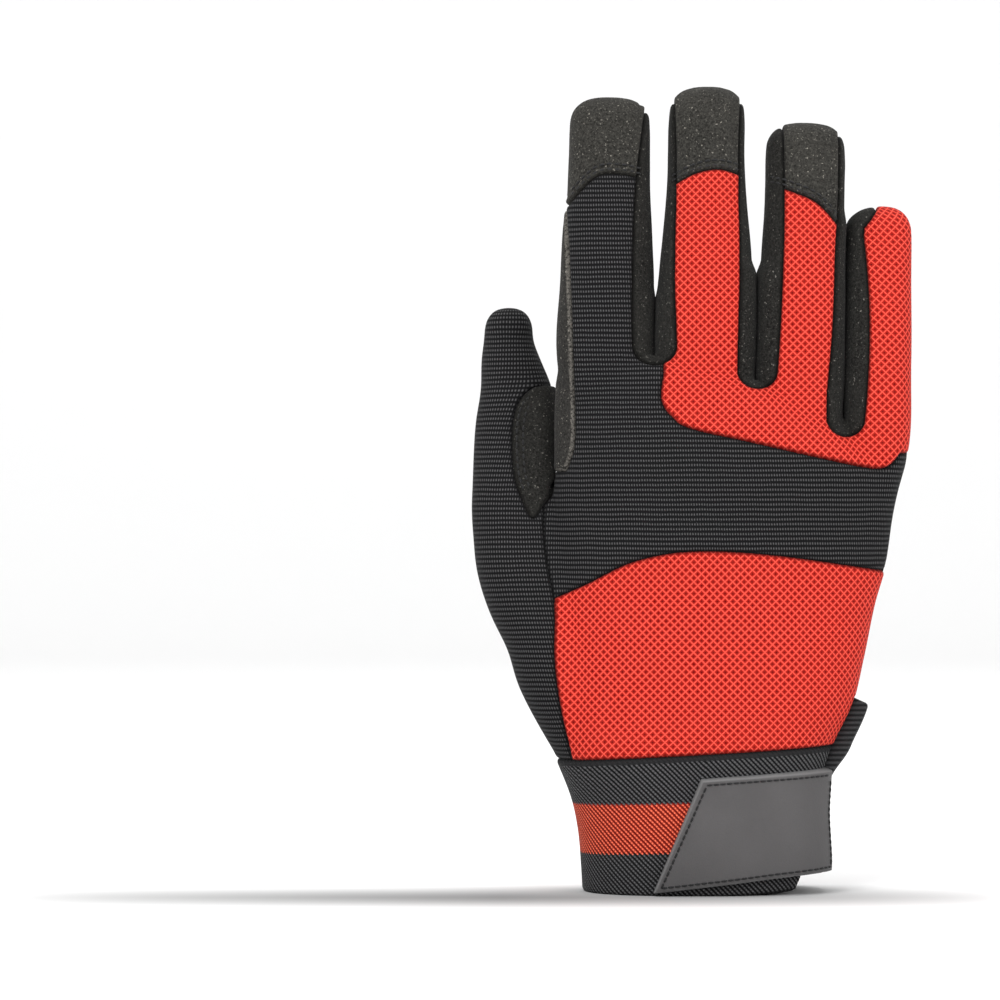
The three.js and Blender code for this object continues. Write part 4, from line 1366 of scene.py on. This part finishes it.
# Panels, in the order that they are cut from the form. Each row: what it is called, how its cell is made
# from the arguments, its rise, material and slot, how its weave lies, the relief of its face, and how far
# points are from its rows of stitches.
Cut = namedtuple("Cut", "name cell arguments rise material slot cloth relief rows", defaults=(None,) * 3)
CUTS = [
    Cut("cuff_elastic", cuff_cell, (), ELASTIC_RISE, elastic, "cuff_elastic", "round"),
    *[Cut(f"fourchette_{low}_{high}", strip_cell, (low, high), STRIP_RISE, shaded_strip_suede, "side_strip", None,
          closing(low, high)) for low, high in (("index", "middle"), ("middle", "ring"), ("ring", "little"))],
    Cut("index_side_panel", index_strip_cell, (), INDEX_SIDE_RISE, frayed, "suede_trim"),
    Cut("index_tip_cap", cap_cell, ("index", "both"), CAP_RISE, trim, "suede_trim", None, allowance),
    Cut("middle_tip_cap", cap_cell, ("middle", "back"), CAP_RISE, trim, "suede_trim", None, allowance),
    Cut("middle_tip_pad", cap_cell, ("middle", "palm"), CAP_RISE, trim, "suede_trim", None, allowance),
    Cut("ring_tip_cap", cap_cell, ("ring", "back"), CAP_RISE, trim, "suede_trim", None, allowance),
    Cut("thumb_crotch_patch", crotch_cell, (), CAP_RISE, shaded_strip_suede, "suede_trim", None, pressed),
    Cut("thumb_back_panel", thumb_cell, (), KNIT_RISE, knit, "rib_knit", "flat"),
    Cut("palm_panel", palm_side, (), 0, suede, "suede_palm", None, quilted, row_distance),
    Cut("knuckle_mesh_panel", knuckle_cell, (), NET_RISE, net, "red_net", "flat"),
    Cut("hand_back_mesh_panel", hand_net_cell, (), NET_RISE, net, "red_net", "flat"),
]


def make_panels():
    rest = combined(form, ("DIFFERENCE", under_foot(0)))
    ring = combined(rest, ("INTERSECT", binding_cell()))
    panel("vent_gusset", ring, BINDING_RISE, binding, flared, width=1.4)
    rest = combined(rest, ("DIFFERENCE", vent_cell(SEAM_GAP)))
    for cut in CUTS:
        piece = combined(rest, ("INTERSECT", cut.cell(*cut.arguments, 0)))
        panel(cut.name, piece, cut.rise, cut.material, cut.relief, cut.cloth, cut.rows)
        rest = combined(rest, ("DIFFERENCE", cut.cell(*cut.arguments, SEAM_GAP)))
    panel("back_knit_panel", rest, KNIT_RISE, knit, cloth="flat")


def make_strap():
    """The strap round the wrist and the coated tab on its end, over the cuff."""
    strap_palm = rectangle(CUFF_HALF - STRAP_END, FAR, tab_foot(CUFF_HALF), tab_top(CUFF_HALF))
    strap = combined(form, ("INTERSECT", two_sided(tab_outline(STRAP_INSET, FAR), strap_palm, 0)))
    panel("wrist_strap", strap, STRAP_RISE, tape, lifted, width=1.2)
    thumb_half = combined(prism(rectangle(-FAR, 1, -FAR, FAR)), ("DIFFERENCE", palm_side()))
    before_end = combined(side_prism(rectangle(-FAR, -TAB_END, -FAR, FAR)), ("UNION", thumb_half))
    tab = combined(form, ("INTERSECT", combined(prism(tab_outline(0, FAR)), ("INTERSECT", before_end))))
    panel("strap_tab", tab, TAB_RISE, coated, lifted, width=0.7, depth=0.6)


def sew_palm():
    """The palm's double rows, and the double row inside the index side strip's edge."""
    loops = []
    for line in palm_lines():
        loops += stitch_row(line, "palm", 0, quilted)
    edge = curve([on_hand(p) for p in INDEX_STRIP_PALM[1:-1]], 60)
    for inset in (STITCH_INSET, STITCH_INSET + ROW_GAP):
        loops += stitch_row(beside(edge, -inset), "palm", INDEX_SIDE_RISE)
    stitches("palm_stitches", loops)


def sew_back():
    """Double rows above the edges of the fingertip caps and inside the thumb patch's."""
    loops = []
    for name, shares in CAP_SEAMS_BACK.items():
        finger = fingers[name]
        line = cap_outline(finger, shares)[1:-3]
        for rise in (1.1, 2.7):
            loops += stitch_row([(x, z + rise) for x, z in line[2:-2]], "back", CAP_RISE)
    oval = curve([on_hand(p) for p in CROTCH_OVAL[2:7]], 40)
    for inset in (1.3, 1.3 + ROW_GAP):
        loops += stitch_row(beside(oval, inset), "back", CAP_RISE)
    stitches("trim_stitches", loops)


def sew_tab():
    """A row of stitches round the tab, inside its edge."""
    low, high = -TAB_REACH, -TAB_REACH + TAB_RAKE
    inset = STITCH_INSET
    right = CUFF_HALF * 0.93
    foot = [(x, tab_foot(x) + inset) for x in np.linspace(low + inset * 1.6, right, 40)]
    top = [(x, tab_top(x) - inset) for x in np.linspace(high + inset, right, 40)]
    slant = [foot[0], top[0]]
    side = [(-TAB_END - inset, z) for z in (tab_foot(CUFF_HALF) + inset, tab_top(CUFF_HALF) - inset)]
    loops = []
    for line, direction in ((foot, "back"), (top, "back"), (slant, "back"), (side, "side")):
        dense = curve(line, 40)
        loops += stitch_row(dense, direction, TAB_RISE, lifted, pitch=TAB_STITCH, length=TAB_STITCH * 0.85)
    stitches("tab_stitches", loops)


make_panels()
make_strap()
sew_palm()
sew_back()
sew_tab()
for made in workshop:
    bpy.data.objects.remove(made)


# Stage, camera and light, in metres
STUDIO_WHITE = (0.93, 0.93, 0.93, 1)
STUDIO_SHADE = (0.06, 0.06, 0.06, 1)
BAND_MIDDLE = (-0.062, -0.028)
BAND_HALF = (0.155, 0.05)
FLOOR_FRONT = -2.5
BACKDROP = 3.0  # how far behind it stands
BACKDROP_BEND = 0.8
BACKDROP_TOP = 5
STAGE_HALF = 5.0
PIXEL = 0.0003055  # at the glove, for one pixel of the photograph
IMAGE = 1000
CUFF_PIXEL = (705, 890)
CAMERA_DISTANCE = 1.5


def studio_material():
    """White paper with the broad soft shadow that a row of gloves casts along it."""
    n = Nodes("studio_white")
    x, y, _ = n.axes(n.place())
    fades = []
    for axis, middle, half in zip((x, y), BAND_MIDDLE, BAND_HALF):
        away = n.math("ABSOLUTE", n.math("SUBTRACT", axis, middle))
        fades.append(n.between(away, 0.0, half, 1.0, 0.0))
    soft = n.math("MULTIPLY", n.math("POWER", fades[0], 0.35), n.math("SMOOTH_MIN", fades[1], 0.8))
    color = n.mix(soft, STUDIO_WHITE, STUDIO_SHADE)
    return n.finish(color, 0.9, n.bump(n.noise(n.place(), 40), 0.0001, 0.1), specular=0.0)


def make_stage():
    """A pale floor that curves up into a backdrop far behind."""
    line = [(FLOOR_FRONT, 0)]
    for angle in np.linspace(0, math.pi / 2, 12):
        y = BACKDROP - BACKDROP_BEND + BACKDROP_BEND * math.sin(angle)
        line.append((y, BACKDROP_BEND - BACKDROP_BEND * math.cos(angle)))
    line.append((BACKDROP, BACKDROP_TOP))
    points = [(x, y, z) for x in (-STAGE_HALF, STAGE_HALF) for y, z in line]
    count = len(line)
    faces = [(i, i + 1, i + 1 + count, i + count) for i in range(count - 1)]
    obj = mesh_object("studio", points, faces)
    obj.data.polygons.foreach_set("use_smooth", [True] * len(obj.data.polygons))
    obj.data.materials.append(studio_material())


def make_camera():
    data = bpy.data.cameras.new("camera")
    data.sensor_width = 36
    data.lens = data.sensor_width * CAMERA_DISTANCE / (IMAGE * PIXEL)
    data.clip_end = 50
    camera = bpy.data.objects.new("camera", data)
    x = (IMAGE / 2 - CUFF_PIXEL[0]) * PIXEL
    z = (CUFF_PIXEL[1] - IMAGE / 2) * PIXEL
    camera.location = (x, -CAMERA_DISTANCE, z)
    camera.rotation_euler = (math.pi / 2, 0, 0)
    bpy.context.scene.collection.objects.link(camera)
    bpy.context.scene.camera = camera


def area_light(name, place, target, size, power):
    data = bpy.data.lights.new(name, "AREA")
    data.shape = "SQUARE"
    data.size = size
    data.energy = power
    light = bpy.data.objects.new(name, data)
    light.location = place
    light.rotation_euler = (Vector(target) - Vector(place)).to_track_quat("-Z", "Y").to_euler()
    bpy.context.scene.collection.objects.link(light)


def make_light():
    centre = (0, 0, 0.12)
    area_light("key", (-0.9, -1.6, 1.5), centre, 1.2, 32)
    area_light("fill", (1.5, -1.4, 0.7), centre, 1.6, 18)
    area_light("top", (0, 0.2, 2.2), centre, 1.8, 20)
    world = bpy.data.worlds.new("world")
    world.use_nodes = True
    world.node_tree.nodes["Background"].inputs["Color"].default_value = (1, 1, 1, 1)
    world.node_tree.nodes["Background"].inputs["Strength"].default_value = 0.75
    bpy.context.scene.world = world
    bpy.context.scene.view_settings.view_transform = "Standard"


make_stage()
make_camera()
make_light()
